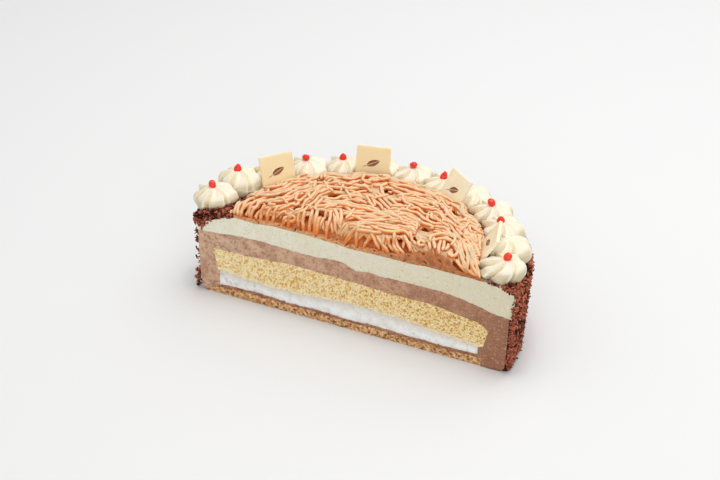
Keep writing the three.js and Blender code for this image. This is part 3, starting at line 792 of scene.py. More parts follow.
def heap_thick(x, y):
    r = np.hypot(x, y) / (R_HEAP + 3.6)
    base = 3.6 + 1.6 * smooth(15, 50, y) + 8.6 * (1 - np.minimum(1, r ** 3.8))
    ends = np.clip((x + R_HEAP) / 5, 0.22, 1) * np.clip((R_HEAP_RIGHT - x) / 9, 0.22, 1)
    front = 0.52 + 0.48 * smooth(0, 5.5, y)
    lump = 0.75 * (np.sin(0.33 * x + 0.21 * y) * np.sin(0.29 * y - 0.12 * x + 1)
                   + 0.7 * np.sin(0.71 * x + 1.3 + 0.4 * np.sin(0.3 * y)) * np.sin(0.55 * y + 0.2 * x))
    return np.maximum(0.7, base * front * np.where(y < 1, ends, 1.0) + lump * smooth(0, 4, y))


def heap_top(x, y):
    return C_CREAM.round(x, np.maximum(y, 0)) + heap_thick(x, np.maximum(y, 0))


def heap_rim(a):
    r = R_HEAP + (R_HEAP_BACK - R_HEAP) * smooth(math.radians(168), math.radians(150), a)
    for c in ROSETTES:
        rr = ROS_R - 0.4
        b = c[0] * np.cos(a) + c[1] * np.sin(a)
        q = b * b - (c[0] ** 2 + c[1] ** 2 - rr * rr)
        hit = (b > 0) & (q > 0)
        r = np.where(hit, np.minimum(r, b - np.sqrt(np.maximum(q, 0))), r)
    return r


def inside_heap(x, y, margin=0.0):
    a = np.arctan2(np.maximum(y, 0), x)
    return (np.hypot(x, y) < heap_rim(a) - margin) & (y > 0.2)


# the bundles on top as they lie: how many strands, and points the bundle passes over
STRANDS = [
    (3, ((-76.2, 1.0, 56.6), (-77.5, 6.8, 58.2), (-80.2, 17.1, 55.9), (-77.4, 21.7, 57.1), (-72.1, 23.1, 59.1))),
    (2, ((-72.0, 0.9, 57.1), (-71.1, 4.0, 59.8), (-70.8, 10.4, 60.2), (-67.8, 14.6, 60.9), (-62.8, 16.4, 62.6))),
    (2, ((-67.4, 1.0, 58.2), (-67.1, 4.0, 60.8), (-64.7, 7.0, 62.7), (-62.9, 13.2, 62.1), (-60.2, 18.9, 62.1), (-55.6, 22.7, 62.1))),
    (2, ((-62.8, 1.1, 58.7), (-62.5, 3.1, 61.1), (-61.8, 6.5, 62.3), (-61.7, 12.2, 62.3))),
    (3, ((-86.9, 34.2, 51.5), (-80.2, 34.6, 53.6), (-68.0, 27.9, 59.2), (-60.3, 28.6, 62.1), (-59.1, 38.5, 61.1), (-58.7, 50.1, 59.2))),
    (3, ((-75.6, 19.7, 57.8), (-67.1, 19.2, 61.5), (-59.6, 22.6, 61.8), (-54.6, 30.4, 62.1), (-48.0, 35.6, 64.0), (-44.4, 46.2, 62.5))),
    (3, ((-62.0, 10.2, 61.8), (-56.5, 12.5, 62.8), (-48.5, 12.4, 66.2), (-45.0, 20.5, 65.8), (-43.7, 30.2, 64.9), (-42.3, 39.8, 63.4))),
    (2, ((-48.7, 2.1, 62.5), (-44.8, 4.5, 65.0), (-40.9, 8.2, 66.8), (-37.5, 12.8, 66.8), (-37.7, 19.1, 67.0), (-38.4, 30.2, 65.6), (-38.0, 41.8, 63.5))),
    (2, ((-44.3, 0.0, 60.1), (-40.9, 2.2, 63.2), (-36.7, 4.2, 66.6), (-34.0, 10.1, 66.4), (-33.6, 15.2, 67.3), (-34.2, 26.0, 66.6), (-33.6, 36.0, 66.0))),
    (1, ((-57.5, 0.0, 58.0), (-57.7, 2.8, 61.2), (-56.5, 5.4, 64.2))),
    (1, ((-53.5, 0.0, 57.7), (-53.4, 2.1, 62.0), (-53.2, 6.7, 64.4))),
    (1, ((-49.5, 0.0, 58.7), (-49.5, 2.4, 62.9), (-48.6, 5.5, 65.5))),
    (1, ((-35.1, 1.9, 62.9), (-36.4, 0.0, 61.2), (-39.4, 1.3, 62.1), (-37.9, 2.8, 64.0), (-35.2, 2.1, 63.1))),
    (1, ((-39.0, 0.0, 59.5), (-39.6, 2.4, 63.4), (-38.7, 4.2, 66.0))),
    (1, ((-32.5, 0.0, 60.6), (-33.9, 2.7, 64.1), (-33.8, 4.9, 67.0))),
    (1, ((-29.2, 0.0, 60.8), (-30.8, 2.9, 64.2), (-31.1, 5.9, 67.2))),
    (2, ((-60.6, 32.8, 61.4), (-67.2, 53.0, 54.4), (-68.1, 64.5, 51.6), (-64.0, 67.0, 52.1))),
    (2, ((-59.1, 38.5, 61.1), (-54.6, 42.7, 61.0), (-49.9, 46.4, 61.1), (-41.9, 44.0, 62.9))),
    (2, ((-57.1, 62.0, 56.1), (-51.8, 67.5, 55.5), (-39.5, 62.2, 59.7), (-30.0, 62.1, 61.4), (-24.3, 69.2, 60.2), (-21.3, 81.8, 55.8), (-18.3, 95.0, 51.8))),
    (2, ((-50.2, 41.9, 61.8), (-44.4, 46.2, 62.5), (-40.2, 50.8, 61.4), (-29.1, 45.0, 64.9), (-24.0, 50.6, 64.3), (-22.4, 60.2, 62.2))),
    (3, ((-43.2, 29.2, 64.9), (-42.5, 37.7, 63.7), (-38.7, 43.0, 63.5), (-29.4, 40.6, 66.3), (-23.2, 43.8, 65.0), (-18.6, 50.2, 65.1), (-13.0, 54.8, 63.7))),
    (1, ((-31.2, 55.2, 63.6), (-27.7, 46.1, 64.8), (-25.8, 40.0, 65.4))),
    (3, ((-33.2, 14.6, 67.1), (-33.7, 23.9, 66.5), (-33.0, 32.5, 66.5), (-29.4, 38.1, 65.5), (-20.7, 36.5, 67.0), (-14.1, 36.5, 66.8), (-7.5, 36.4, 66.5))),
    (3, ((-30.4, 20.2, 67.0), (-23.8, 22.7, 66.9), (-18.4, 27.2, 66.8), (-13.3, 32.4, 66.2), (-4.8, 31.1, 67.7), (-0.6, 30.4, 66.5))),
    (2, ((-24.7, 14.6, 67.9), (-21.1, 20.0, 66.9), (-15.9, 23.7, 67.1), (-10.0, 22.4, 67.3), (-3.8, 21.6, 67.3), (1.6, 23.6, 66.4))),
    (2, ((-8.3, 41.7, 66.4), (-3.4, 36.0, 66.4), (1.4, 30.2, 66.4))),
    (3, ((-6.8, 45.2, 66.4), (-0.5, 40.4, 66.4), (5.6, 36.1, 66.0), (11.5, 30.8, 66.1))),
    (2, ((0.5, 45.0, 65.8), (7.3, 39.2, 66.9), (12.8, 35.9, 66.6), (15.6, 39.2, 65.7))),
    (2, ((-3.8, 29.1, 67.0), (3.2, 25.5, 66.5), (10.3, 22.9, 67.0), (13.3, 29.7, 65.8), (16.1, 35.6, 66.3))),
    (1, ((-9.9, 60.4, 63.2), (-3.7, 49.4, 65.3), (2.0, 44.5, 65.7), (6.5, 45.9, 65.5), (11.7, 47.2, 66.2))),
    (3, ((-6.3, 4.2, 65.4), (-2.2, 8.6, 66.2), (4.0, 11.4, 66.5), (10.5, 16.2, 65.8), (19.3, 16.3, 66.7), (25.6, 18.9, 66.5), (33.4, 15.8, 66.8))),
    (2, ((0.9, 2.8, 64.0), (6.3, 4.5, 65.9), (11.9, 6.0, 66.0), (18.9, 7.0, 67.3))),
    (2, ((6.2, 12.2, 66.6), (10.9, 9.1, 66.2), (17.6, 7.2, 67.5), (23.5, 13.0, 66.2), (30.2, 14.7, 66.5), (37.9, 11.8, 66.1))),
    (4, ((-7.1, 10.6, 66.6), (-1.8, 15.2, 66.3), (6.2, 17.1, 67.5), (13.0, 21.3, 65.9), (21.2, 22.7, 67.3), (27.9, 24.6, 65.6), (34.7, 21.0, 65.9))),
    (4, ((-28.7, 14.7, 66.9), (-19.8, 15.2, 67.6), (-13.2, 19.8, 66.4), (-3.8, 19.1, 67.2), (3.8, 21.9, 66.5), (11.6, 24.2, 66.7), (17.4, 30.3, 66.6), (24.6, 31.4, 66.6))),
    (1, ((-25.3, 0.0, 60.5), (-25.6, 3.0, 65.4), (-28.0, 11.0, 66.9))),
    (1, ((-22.1, 0.0, 59.4), (-22.4, 3.0, 65.0), (-25.3, 10.8, 67.6))),
    (1, ((-20.1, 0.0, 60.5), (-20.5, 3.1, 64.8), (-22.6, 9.5, 67.0))),
    (1, ((-18.6, 1.9, 62.6), (-18.9, 6.2, 66.3), (-20.7, 13.2, 67.6))),
    (1, ((-14.3, 0.0, 60.7), (-14.6, 4.1, 65.8), (-18.1, 13.2, 67.0))),
    (1, ((-6.2, 2.9, 63.4), (-9.6, 5.7, 67.6), (-17.3, 15.3, 66.2))),
    (1, ((-6.8, 2.8, 63.3), (-8.1, 6.5, 67.6), (-14.7, 17.7, 66.4))),
    (1, ((-8.8, 1.8, 62.0), (-10.8, 4.2, 66.1), (-16.0, 11.6, 67.0))),
    (1, ((-2.8, 0.0, 55.3), (-0.7, 0.9, 60.7), (1.7, 3.5, 65.2))),
    (1, ((-1.5, 0.0, 58.9), (0.5, 2.2, 62.9), (3.1, 4.5, 66.4))),
    (1, ((4.9, 0.0, 56.7), (3.6, 1.2, 61.0), (3.5, 3.9, 65.5), (1.2, 9.5, 66.0))),
    (1, ((10.0, 0.0, 58.1), (10.7, 2.2, 62.4), (13.6, 4.0, 65.5), (18.2, 5.9, 67.1))),
    (1, ((18.8, 0.0, 59.8), (15.2, 2.0, 62.4), (11.8, 3.6, 64.6))),
    (1, ((24.5, 0.0, 58.1), (20.0, 1.3, 61.4), (15.7, 3.4, 64.4))),
    (1, ((22.0, 0.0, 56.8), (20.0, 1.3, 61.4), (20.4, 4.0, 65.3))),
    (1, ((30.7, 0.0, 60.4), (25.8, 2.2, 62.5), (21.7, 4.0, 65.0))),
    (1, ((30.1, 0.0, 59.0), (26.9, 2.5, 63.3), (24.7, 8.1, 66.4))),
    (1, ((35.1, 0.0, 58.4), (31.7, 1.6, 61.8), (29.1, 3.1, 64.3), (27.6, 4.8, 66.9))),
    (1, ((38.5, 1.7, 61.7), (35.6, 3.8, 65.0), (31.1, 7.7, 67.0))),
    (1, ((40.3, 4.3, 65.3), (35.5, 9.1, 65.5), (31.5, 13.4, 66.2))),
    (1, ((44.8, 5.8, 65.8), (43.3, 3.9, 64.3), (40.3, 4.7, 65.6), (40.1, 10.5, 65.3), (44.4, 6.7, 66.0))),
    (1, ((49.2, 3.7, 64.2), (47.5, 7.2, 65.8), (44.3, 11.2, 66.8))),
    (1, ((51.8, 4.8, 65.0), (48.9, 9.4, 65.7), (45.1, 16.1, 65.2))),
    (1, ((55.3, 2.7, 62.5), (52.9, 6.4, 65.7), (50.1, 14.7, 65.3))),
    (1, ((56.1, 6.0, 64.9), (53.1, 13.8, 64.0), (50.9, 18.4, 65.0))),
    (1, ((57.6, 6.8, 64.9), (56.7, 12.6, 64.3), (53.9, 17.2, 65.1))),
    (3, ((-9.1, 68.0, 61.1), (0.9, 64.0, 62.9), (8.4, 64.5, 62.5), (17.1, 62.8, 62.9), (26.9, 58.5, 63.4), (36.1, 55.5, 62.5))),
    (3, ((5.3, 49.6, 65.4), (11.3, 53.4, 65.2), (17.9, 55.7, 63.8), (26.5, 53.8, 64.2), (32.7, 54.3, 63.6))),
    (3, ((13.7, 41.9, 65.3), (18.0, 47.5, 65.0), (25.8, 47.3, 65.1), (30.9, 50.0, 63.2), (38.5, 47.4, 63.8))),
    (3, ((10.1, 29.6, 66.4), (15.1, 35.0, 66.4), (19.8, 38.6, 65.8), (25.8, 36.6, 65.7), (32.5, 30.6, 66.5), (38.3, 29.1, 66.1), (43.8, 30.8, 64.7), (49.4, 33.5, 64.9))),
    (1, ((32.0, 53.2, 63.9), (35.1, 54.8, 62.6), (39.8, 48.8, 64.1), (39.8, 44.7, 63.4), (37.9, 41.9, 65.0), (34.9, 47.0, 64.4))),
    (2, ((31.4, 41.0, 65.7), (32.3, 36.4, 64.9), (36.9, 32.0, 65.6))),
    (2, ((34.4, 40.0, 65.6), (39.8, 36.6, 65.4), (44.3, 35.0, 64.8), (49.6, 31.8, 64.5))),
    (3, ((41.6, 19.6, 65.1), (47.7, 22.5, 66.0), (52.8, 24.9, 63.5), (59.3, 19.1, 64.3), (65.3, 12.7, 62.7), (70.8, 6.2, 61.0))),
    (2, ((43.2, 11.1, 66.6), (47.9, 16.8, 65.6), (53.0, 19.1, 65.2), (58.7, 17.7, 64.2))),
    (3, ((44.3, 43.1, 63.4), (49.9, 40.7, 62.8), (56.2, 38.0, 61.8), (62.3, 34.1, 61.5), (67.1, 31.8, 60.7))),
    (4, ((34.7, 48.9, 64.0), (41.5, 42.4, 63.7), (48.9, 35.9, 64.9), (54.5, 33.4, 63.0), (62.2, 27.4, 63.5), (67.9, 25.9, 61.3))),
    (3, ((51.2, 32.4, 64.6), (56.7, 27.3, 62.7), (64.6, 16.9, 62.9), (70.5, 9.3, 61.9), (75.7, 3.7, 59.9))),
    (3, ((56.6, 30.2, 63.2), (63.5, 23.2, 62.7), (69.1, 17.9, 61.1), (75.3, 9.8, 60.4))),
    (1, ((55.9, 44.1, 62.0), (55.8, 40.1, 62.0), (53.7, 40.7, 63.1), (52.7, 46.9, 61.8), (55.7, 44.6, 62.0))),
    (2, ((49.5, 44.2, 62.9), (49.4, 54.2, 60.0), (55.8, 48.5, 60.5), (61.1, 45.2, 59.6))),
    (2, ((58.2, 40.5, 61.1), (60.5, 46.5, 59.4), (65.6, 43.6, 59.6))),
    (1, ((65.3, 7.5, 62.7), (69.0, 3.6, 61.3), (72.3, 1.7, 59.3), (75.2, 0.8, 58.1))),
    (2, ((73.4, 7.2, 61.2), (76.9, 4.9, 59.6), (80.3, 2.9, 57.1))),
    (2, ((63.9, 22.6, 62.5), (68.5, 20.5, 60.9), (72.3, 20.5, 60.6))),
    (1, ((61.5, 13.6, 64.8), (65.8, 8.6, 63.2), (69.7, 4.0, 61.9), (72.1, 1.8, 59.7))),
    (1, ((64.6, 3.8, 62.5), (67.7, 2.6, 60.8), (71.1, 0.8, 59.3), (72.6, 0.0, 57.5))),
    (1, ((61.0, 20.0, 64.1), (66.9, 14.2, 62.7), (71.4, 5.6, 61.7), (72.6, 2.0, 59.7), (73.0, 0.0, 57.6))),
    (1, ((63.8, 18.6, 63.3), (71.4, 9.8, 62.8), (74.6, 4.2, 61.2), (76.1, 1.0, 58.0))),
    (1, ((67.7, 15.4, 62.6), (74.9, 7.8, 61.4), (78.0, 3.6, 58.8), (80.9, 1.0, 56.6))),
    (1, ((73.3, 10.0, 62.4), (78.9, 5.8, 59.7), (82.2, 2.8, 57.6))),
    (1, ((71.9, 1.2, 59.5), (74.9, 0.4, 58.4), (77.3, 0.6, 57.3), (79.2, 1.0, 56.8))),
    (1, ((60.2, 13.6, 64.7), (63.6, 10.6, 63.6), (67.6, 5.8, 62.9), (70.1, 3.0, 61.2), (71.3, 1.6, 59.7))),
    (1, ((59.8, 4.6, 64.7), (62.2, 3.5, 63.3), (64.0, 6.2, 63.0), (63.6, 11.1, 63.1), (61.1, 13.7, 64.3), (57.6, 14.8, 64.1))),
]

# where the heap opens onto its lower inside, which is also painted darker as shade: x, y, radius
HOLLOWS = [
    (-0.8, 51.5, 4.6), (-25.4, 30.6, 5.2), (-36.7, 10.2, 4.0), (28.8, 38.5, 2.9), (37.2, 22.2, 2.3), (45.0, 54.1, 6.3), (-27.6, 51.1, 3.4), (-44.9, 49.5, 5.4), (4.9, 27.2, 3.5), (9.2, 30.2, 2.1), (-22.1, 8.5, 3.6), (-17.4, 8.1, 2.3), (-28.3, 3.1, 1.8), (-40.4, 2.6, 4.1), (8.5, 1.5, 2.0), (14.2, 1.5, 1.9), (24.6, 3.4, 2.2), (28.9, 4.7, 2.7), (35.1, 2.2, 2.3), (68.4, 4.7, 3.2), (65.4, 2.1, 1.9), (82.5, 2.1, 2.1), (35.5, 9.1, 3.0), (3.6, 0.0, 0.9), (-0.3, 1.3, 1.1), (-72.0, 3.2, 2.0), (-68.1, 3.5, 1.4), (-60.3, 7.4, 4.1), (-59.0, 13.2, 1.9), (-61.5, 3.6, 2.1), (64.7, 37.2, 4.4), (28.7, 29.4, 1.7), (52.2, 26.4, 1.1), (53.5, 15.5, 1.0)
]


def to_view(p):
    """Points of the cut frame as the camera sees them, in frame units."""
    q = np.asarray(p, float) - CAM_AT
    w = q @ CAM_FW
    return np.stack([FOCAL * (q @ CAM_RIGHT) / w, FOCAL * (q @ CAM_UP) / w], -1)


def on_heap(uv):
    """Where the lines of sight meet the heap, or the cut plane in front of it."""
    uv = np.asarray(uv, float)
    d = CAM_FW + uv[:, :1] / FOCAL * CAM_RIGHT + uv[:, 1:] / FOCAL * CAM_UP
    d = d / d[:, 1:2]
    y = np.arange(0.0, 96.0, 0.2)
    t = y - CAM_AT[1]
    x = CAM_AT[0] + d[:, 0:1] * t
    z = CAM_AT[2] + d[:, 2:3] * t
    Y = np.broadcast_to(y, x.shape)
    hit = z <= heap_top(x, Y)
    k = np.where(hit.any(1), np.argmax(hit, 1), len(y) - 1)
    r = np.arange(len(uv))
    return np.stack([x[r, k], Y[r, k], z[r, k]], 1)


def hollow_at(x, y):
    """How far a point lies inside one of the openings of the heap, 0 to 1."""
    out = np.zeros(np.broadcast(x, y).shape)
    for cx, cy, r in HOLLOWS:
        r = max(r, 2.2)
        out = np.maximum(out, smooth(1.15 * r, 0.35 * r, np.hypot(x - cx, y - cy)))
    return out


class Pile:
    """Lays soft round strands one after another on what already lies there."""

    def __init__(self):
        self.s = 0.25
        self.x0, self.y0 = -82.0, -1.5
        self.nx, self.ny = int(172 / self.s), int(86 / self.s)
        X = self.x0 + self.s * np.arange(self.nx)[None, :]
        Y = self.y0 + self.s * np.arange(self.ny)[:, None]
        self.X, self.Y = np.broadcast_arrays(X, Y)
        self.h = core_top(self.X, self.Y)
        self.strands = []

    def read(self, x, y, grid=None):
        u = np.clip((x - self.x0) / self.s, 0, self.nx - 1.001)
        v = np.clip((y - self.y0) / self.s, 0, self.ny - 1.001)
        i, j = u.astype(int), v.astype(int)
        a, b = u - i, v - j
        h = self.h if grid is None else grid
        return (h[j, i] * (1 - a) + h[j, i + 1] * a) * (1 - b) + (h[j + 1, i] * (1 - a) + h[j + 1, i + 1] * a) * b

    def lay(self, pts, radius, ceiling, sink=0.3, stiff=2.0, floor=3.0, seed=0, step=1.5):
        """pts: the way along the heap's surface; ceiling: how far the middle may rise over it."""
        p = np.asarray(pts, float)
        d = np.r_[0, np.cumsum(np.linalg.norm(np.diff(p, axis=0), axis=1))]
        if d[-1] < 3.0:
            return
        k = max(6, int(d[-1] / 0.4))
        t = np.linspace(0, d[-1], k)
        x, y, zs = (np.interp(t, d, p[:, c]) for c in range(3))
        y = np.maximum(y, 0.75 * radius + 0.35 * (1 + vnoise(t * 0.12, seed * 3.1, 0, 5)))
        tx, ty = np.gradient(x), np.gradient(y)
        ln = np.hypot(tx, ty)
        # where it hangs straight down it has no direction in plan: keep the last one
        weak = ln < 0.06
        nx, ny = np.where(weak, 1.0, -ty / np.maximum(ln, 1e-9)), np.where(weak, 0.0, tx / np.maximum(ln, 1e-9))
        r = radius * (1 + 0.10 * fbm(t, seed * 1.7, 0, 5.0, 7, 2))
        z = np.full(k, -1e9)
        for o in (-0.75, -0.4, 0.0, 0.4, 0.75):
            z = np.maximum(z, self.read(x + nx * o * r, y + ny * o * r) + r * math.sqrt(1 - o * o))
        hang = gauss1(z, stiff / 0.4)
        z = np.maximum(hang, z - 0.5 * r) * 0.7 + z * 0.3
        z = gauss1(z, 1.0) - sink * r
        top = zs + ceiling
        z = np.where(z > top - 0.5, top - 0.5 * np.exp(-np.clip(z - top + 0.5, 0, 20) / 0.5) , z)
        z = np.maximum(z, zs - floor)
        w = smooth(2.4, 0.5, p_interp(t, d, p[:, 1]))
        z = z * (1 - w) + (zs - 0.35 * r) * w
        self.strands.append((np.stack([x, y, z], 1), r, step))
        offs = np.linspace(-1, 1, 11)
        X = (x[:, None] + nx[:, None] * offs * r[:, None]).ravel()
        Y = (y[:, None] + ny[:, None] * offs * r[:, None]).ravel()
        Z = (z[:, None] + r[:, None] * np.sqrt(1 - offs ** 2 * 0.999)).ravel()
        i = ((X - self.x0) / self.s + 0.5).astype(int)
        j = ((Y - self.y0) / self.s + 0.5).astype(int)
        ok = (i >= 0) & (i < self.nx) & (j >= 0) & (j < self.ny)
        np.maximum.at(self.h, (j[ok], i[ok]), Z[ok])


def p_interp(t, d, v):
    return np.interp(t, d, v)


CORE_DEPTH = 5.2


def core_top(x, y):
    top = heap_top(x, y)
    cream = C_CREAM.round(x, np.maximum(y, 0))
    deep = np.minimum(CORE_DEPTH + 1.2 * smooth(9, 4, y), 0.72 * (top - cream)) + 0.7 * hollow_at(x, y)
    inner = np.maximum(top - deep, cream + 0.3)
    front = C_CREAM(x) + np.maximum(C_BAND(x) - 0.9, 0.3)
    w = smooth(0.2, 3.4, y)
    return front * (1 - w) + inner * w + 0.35 * fbm(x, y, 0, 2.2, 61, 3) * smooth(0.2, 2, y)


def rounded(points, step, spread=0.16):
    """A rounded, evenly stepped path through the points."""
    p = np.asarray(points, float)
    d = np.r_[0, np.cumsum(np.linalg.norm(np.diff(p, axis=0), axis=1))]
    n = max(8, int(d[-1] / step))
    t = np.linspace(0, d[-1], n)
    q = np.stack([np.interp(t, d, p[:, c]) for c in range(p.shape[1])], 1)
    if len(p) > 2:
        sg = max(1.0, spread * d[-1] / (len(p) - 1) / step * 2.2)
        pad = min(n - 2, int(3 * sg) + 1)
        if pad > 1:
            e = np.concatenate([2 * q[0] - q[pad:0:-1], q, 2 * q[-1] - q[-2:-pad - 2:-1]])
            kk = int(math.ceil(3 * sg))
            w = np.exp(-0.5 * (np.arange(-kk, kk + 1) / sg) ** 2)
            w /= w.sum()
            full = np.stack([np.convolve(np.pad(e[:, c], kk, mode="edge"), w, mode="valid") for c in range(p.shape[1])], 1)
            q = full[pad:-pad]
    return q, t[:len(q)]


def side_of(q):
    g = np.gradient(q, axis=0)
    ln = np.maximum(np.hypot(g[:, 0], g[:, 1]), 1e-9)
    return np.stack([-g[:, 1] / ln, g[:, 0] / ln], 1)


def runs_of(ok):
    runs, cur = [], []
    for k, f in enumerate(ok):
        if f:
            cur.append(k)
        elif cur:
            runs.append(cur)
            cur = []
    if cur:
        runs.append(cur)
    return [r for r in runs if len(r) > 5]


def free_of_plaques(p):
    """Keeps strands out of the plaques that stand in the heap's edge."""
    ok = np.ones(len(p), bool)
    for spec in PLAQUES:
        c, u, n, r = plaque_frame(spec)
        q = p - c
        ok &= ~((np.abs(q @ u) < PLAQUE[0] / 2 + 0.5) & (q @ n > -PLAQUE[1] / 2 - 0.7) & (q @ n < 9) & (np.abs(q @ r) < PLAQUE[2] / 2 + 0.8))
    return ok


def lay_under(pile, rng):
    """A loose under-layer that runs roughly like what lies on top of it."""
    mids, dirs = [], []
    for _, pts in STRANDS:
        p = np.array(pts)
        for a, b in zip(p[:-1], p[1:]):
            if a[1] > 1.0 and b[1] > 1.0:
                mids.append((a[:2] + b[:2]) / 2)
                dirs.append(math.atan2(b[1] - a[1], b[0] - a[0]))
    mids, dirs = np.array(mids), np.array(dirs)
    for level, gap in ((0, 6.6), (1, 6.8)):
        spots = [(gx + rng.uniform(-3, 3), gy + rng.uniform(-3, 3)) for gx in np.arange(-76, 86, gap) for gy in np.arange(3, 80, gap)]
        for k in rng.permutation(len(spots)):
            x, y = spots[k]
            if not inside_heap(np.float64(x), np.float64(max(y, 0.3))):
                continue
            near = np.argsort(np.hypot(*(mids - [x, y]).T))[:2]
            ang = dirs[near[0]] + rng.normal(0, 0.30)
            ln = rng.uniform(12, 24)
            bend = rng.uniform(-0.5, 0.5)
            pts = []
            for q in np.linspace(-0.5, 0.5, 6):
                a = ang + bend * q * 2
                pts.append((x + ln * q * math.cos(a), y + ln * q * math.sin(a)))
            base, s = rounded(pts, 0.8)
            base = base + side_of(base) * (0.8 * fbm(s, k * 3.7, level, 8.0, 31, 2))[:, None]
            count = int(rng.integers(2, 5))
            for q in range(count):
                off = (q - (count - 1) / 2) * 2.15
                path = base + side_of(base) * (off + 0.6 * fbm(s, q * 5.1, k, 9.0, 33, 2))[:, None]
                ok = inside_heap(path[:, 0], path[:, 1], 0.6) & (path[:, 1] > 1.9) & (hollow_at(path[:, 0], path[:, 1]) < 0.25)
                P = np.stack([path[:, 0], path[:, 1], heap_top(path[:, 0], path[:, 1])], 1)
                ok &= free_of_plaques(P)
                for r in runs_of(ok):
                    pile.lay(P[r[0]:r[-1] + 1], rng.uniform(0.92, 1.04), -2.1, sink=0.35, seed=k + q, step=2.3)


def lay_edge(pile, rng):
    """Strands that run along the foot of the piping and fill the heap's edge."""
    for k in range(150):
        a0 = rng.uniform(math.radians(3), math.radians(163))
        ln = rng.uniform(10, 22)
        da = ln / 82.0
        s = np.linspace(0, 1, 14)
        a = np.clip(a0 + da * (s - 0.5), math.radians(1.0), math.radians(169))
        inset = rng.uniform(0.9, 6.5) + rng.uniform(-3.5, 3.5) * (s - 0.5) + 0.9 * fbm(s * ln, k * 2.3, 0, 7.0, 45, 2)
        rim = np.array([heap_rim(a + o) for o in (-0.03, 0.0, 0.03)]).min(0)
        rr = rim - np.maximum(inset, 0.8)
        x, y = rr * np.cos(a), rr * np.sin(a)
        P = np.stack([x, y, heap_top(x, y)], 1)
        ok = free_of_plaques(P) & (y > 1.2)
        for r in runs_of(ok):
            pile.lay(P[r[0]:r[-1] + 1], rng.uniform(0.95, 1.08), rng.uniform(-1.6, 0.2), sink=0.3, seed=900 + k, step=1.9)


def lay_loose(pile, rng):
    """Short strands that lie across the others, here and there."""
    mids, dirs = [], []
    for _, pts in STRANDS:
        p = np.array(pts)
        for a, b in zip(p[:-1], p[1:]):
            mids.append((a[:2] + b[:2]) / 2)
            dirs.append(math.atan2(b[1] - a[1], b[0] - a[0]))
    mids, dirs = np.array(mids), np.array(dirs)
    for k in range(84):
        x, y = rng.uniform(-70, 76), rng.uniform(7, 74)
        if not inside_heap(np.float64(x), np.float64(y), 3.0):
            continue
        near = int(np.argmin(np.hypot(*(mids - [x, y]).T)))
        ang = dirs[near] + rng.choice([-1, 1]) * rng.uniform(0.2, 0.9)
        ln, bend = rng.uniform(8, 18), rng.uniform(-1.3, 1.3)
        q = np.linspace(-0.5, 0.5, 22)
        way = ang + bend * q * 2
        px = x + np.cumsum(np.cos(way)) * ln / 22
        py = y + np.cumsum(np.sin(way)) * ln / 22
        P = np.stack([px, py, heap_top(px, py)], 1)
        ok = inside_heap(px, py, 1.5) & free_of_plaques(P) & (hollow_at(px, py) < 0.5) & (py > 5)
        for r in runs_of(ok):
            pile.lay(P[r[0]:r[-1] + 1], rng.uniform(0.98, 1.10), 1.0, sink=0.35, stiff=1.0, seed=1300 + k)


def lay_strands():
    rng = np.random.default_rng(5)
    pile = Pile()
    lay_under(pile, rng)
    lay_edge(pile, rng)
    for k, (count, pts) in enumerate(STRANDS):
        uv, s = rounded(to_view(pts), 1.2, 0.14)
        length = s[-1]
        side = side_of(uv)
        for q in rng.permutation(count):
            off = (q - (count - 1) / 2) * 4.2
            over = rng.normal(0, 2.6) * min(1.0, length / 45) * (count > 1)
            squeeze = 1 - 0.30 * np.abs(fbm(s, 0.5, k, 26.0, 41, 1))
            drift = 2.2 * fbm(s, q * 7.3, k * 2.9, 17.0, 43, 2)
            fine = 0.8 * fbm(s, q * 3.1, k * 1.7, 8.0, 47, 2)
            path = uv + side * (off * squeeze + drift * (0.45 if count == 1 else 1.0) + fine + over * (s / length - 0.5))[:, None]
            if count > 1:
                a, b = int(rng.uniform(0, 0.10) * len(path)), int(rng.uniform(0.90, 1.0) * len(path))
                path = path[a:max(b, a + 6)]
            if pts[0][1] < 1.6 and not 36 < pts[0][0] < 63:
                back = path[0] - path[min(4, len(path) - 1)]
                back = back / max(np.hypot(*back), 1e-6) * 0.5 + np.array([0.05, -0.5])
                more = np.arange(rng.uniform(1.5, 6.5), 0.6, -1.0)
                path = np.concatenate([path[0] + more[:, None] * back, path])
            P = on_heap(path)
            # no jumps over a crest
            jump = np.linalg.norm(np.diff(P, axis=0), axis=1)
            ok = np.r_[True, jump < 4.5] & (np.hypot(P[:, 0], P[:, 1]) < heap_rim(np.arctan2(P[:, 1], P[:, 0])) + 0.8)
            ok &= free_of_plaques(P) & (P[:, 2] > C_CREAM(P[:, 0]) + 1.1)
            for r in runs_of(ok):
                pile.lay(P[r[0]:r[-1] + 1], 1.10 * rng.uniform(0.90, 1.10), rng.uniform(-0.45, 0.95), sink=0.16, stiff=1.6, seed=100 + 7 * k + q)
    lay_loose(pile, rng)
    return pile


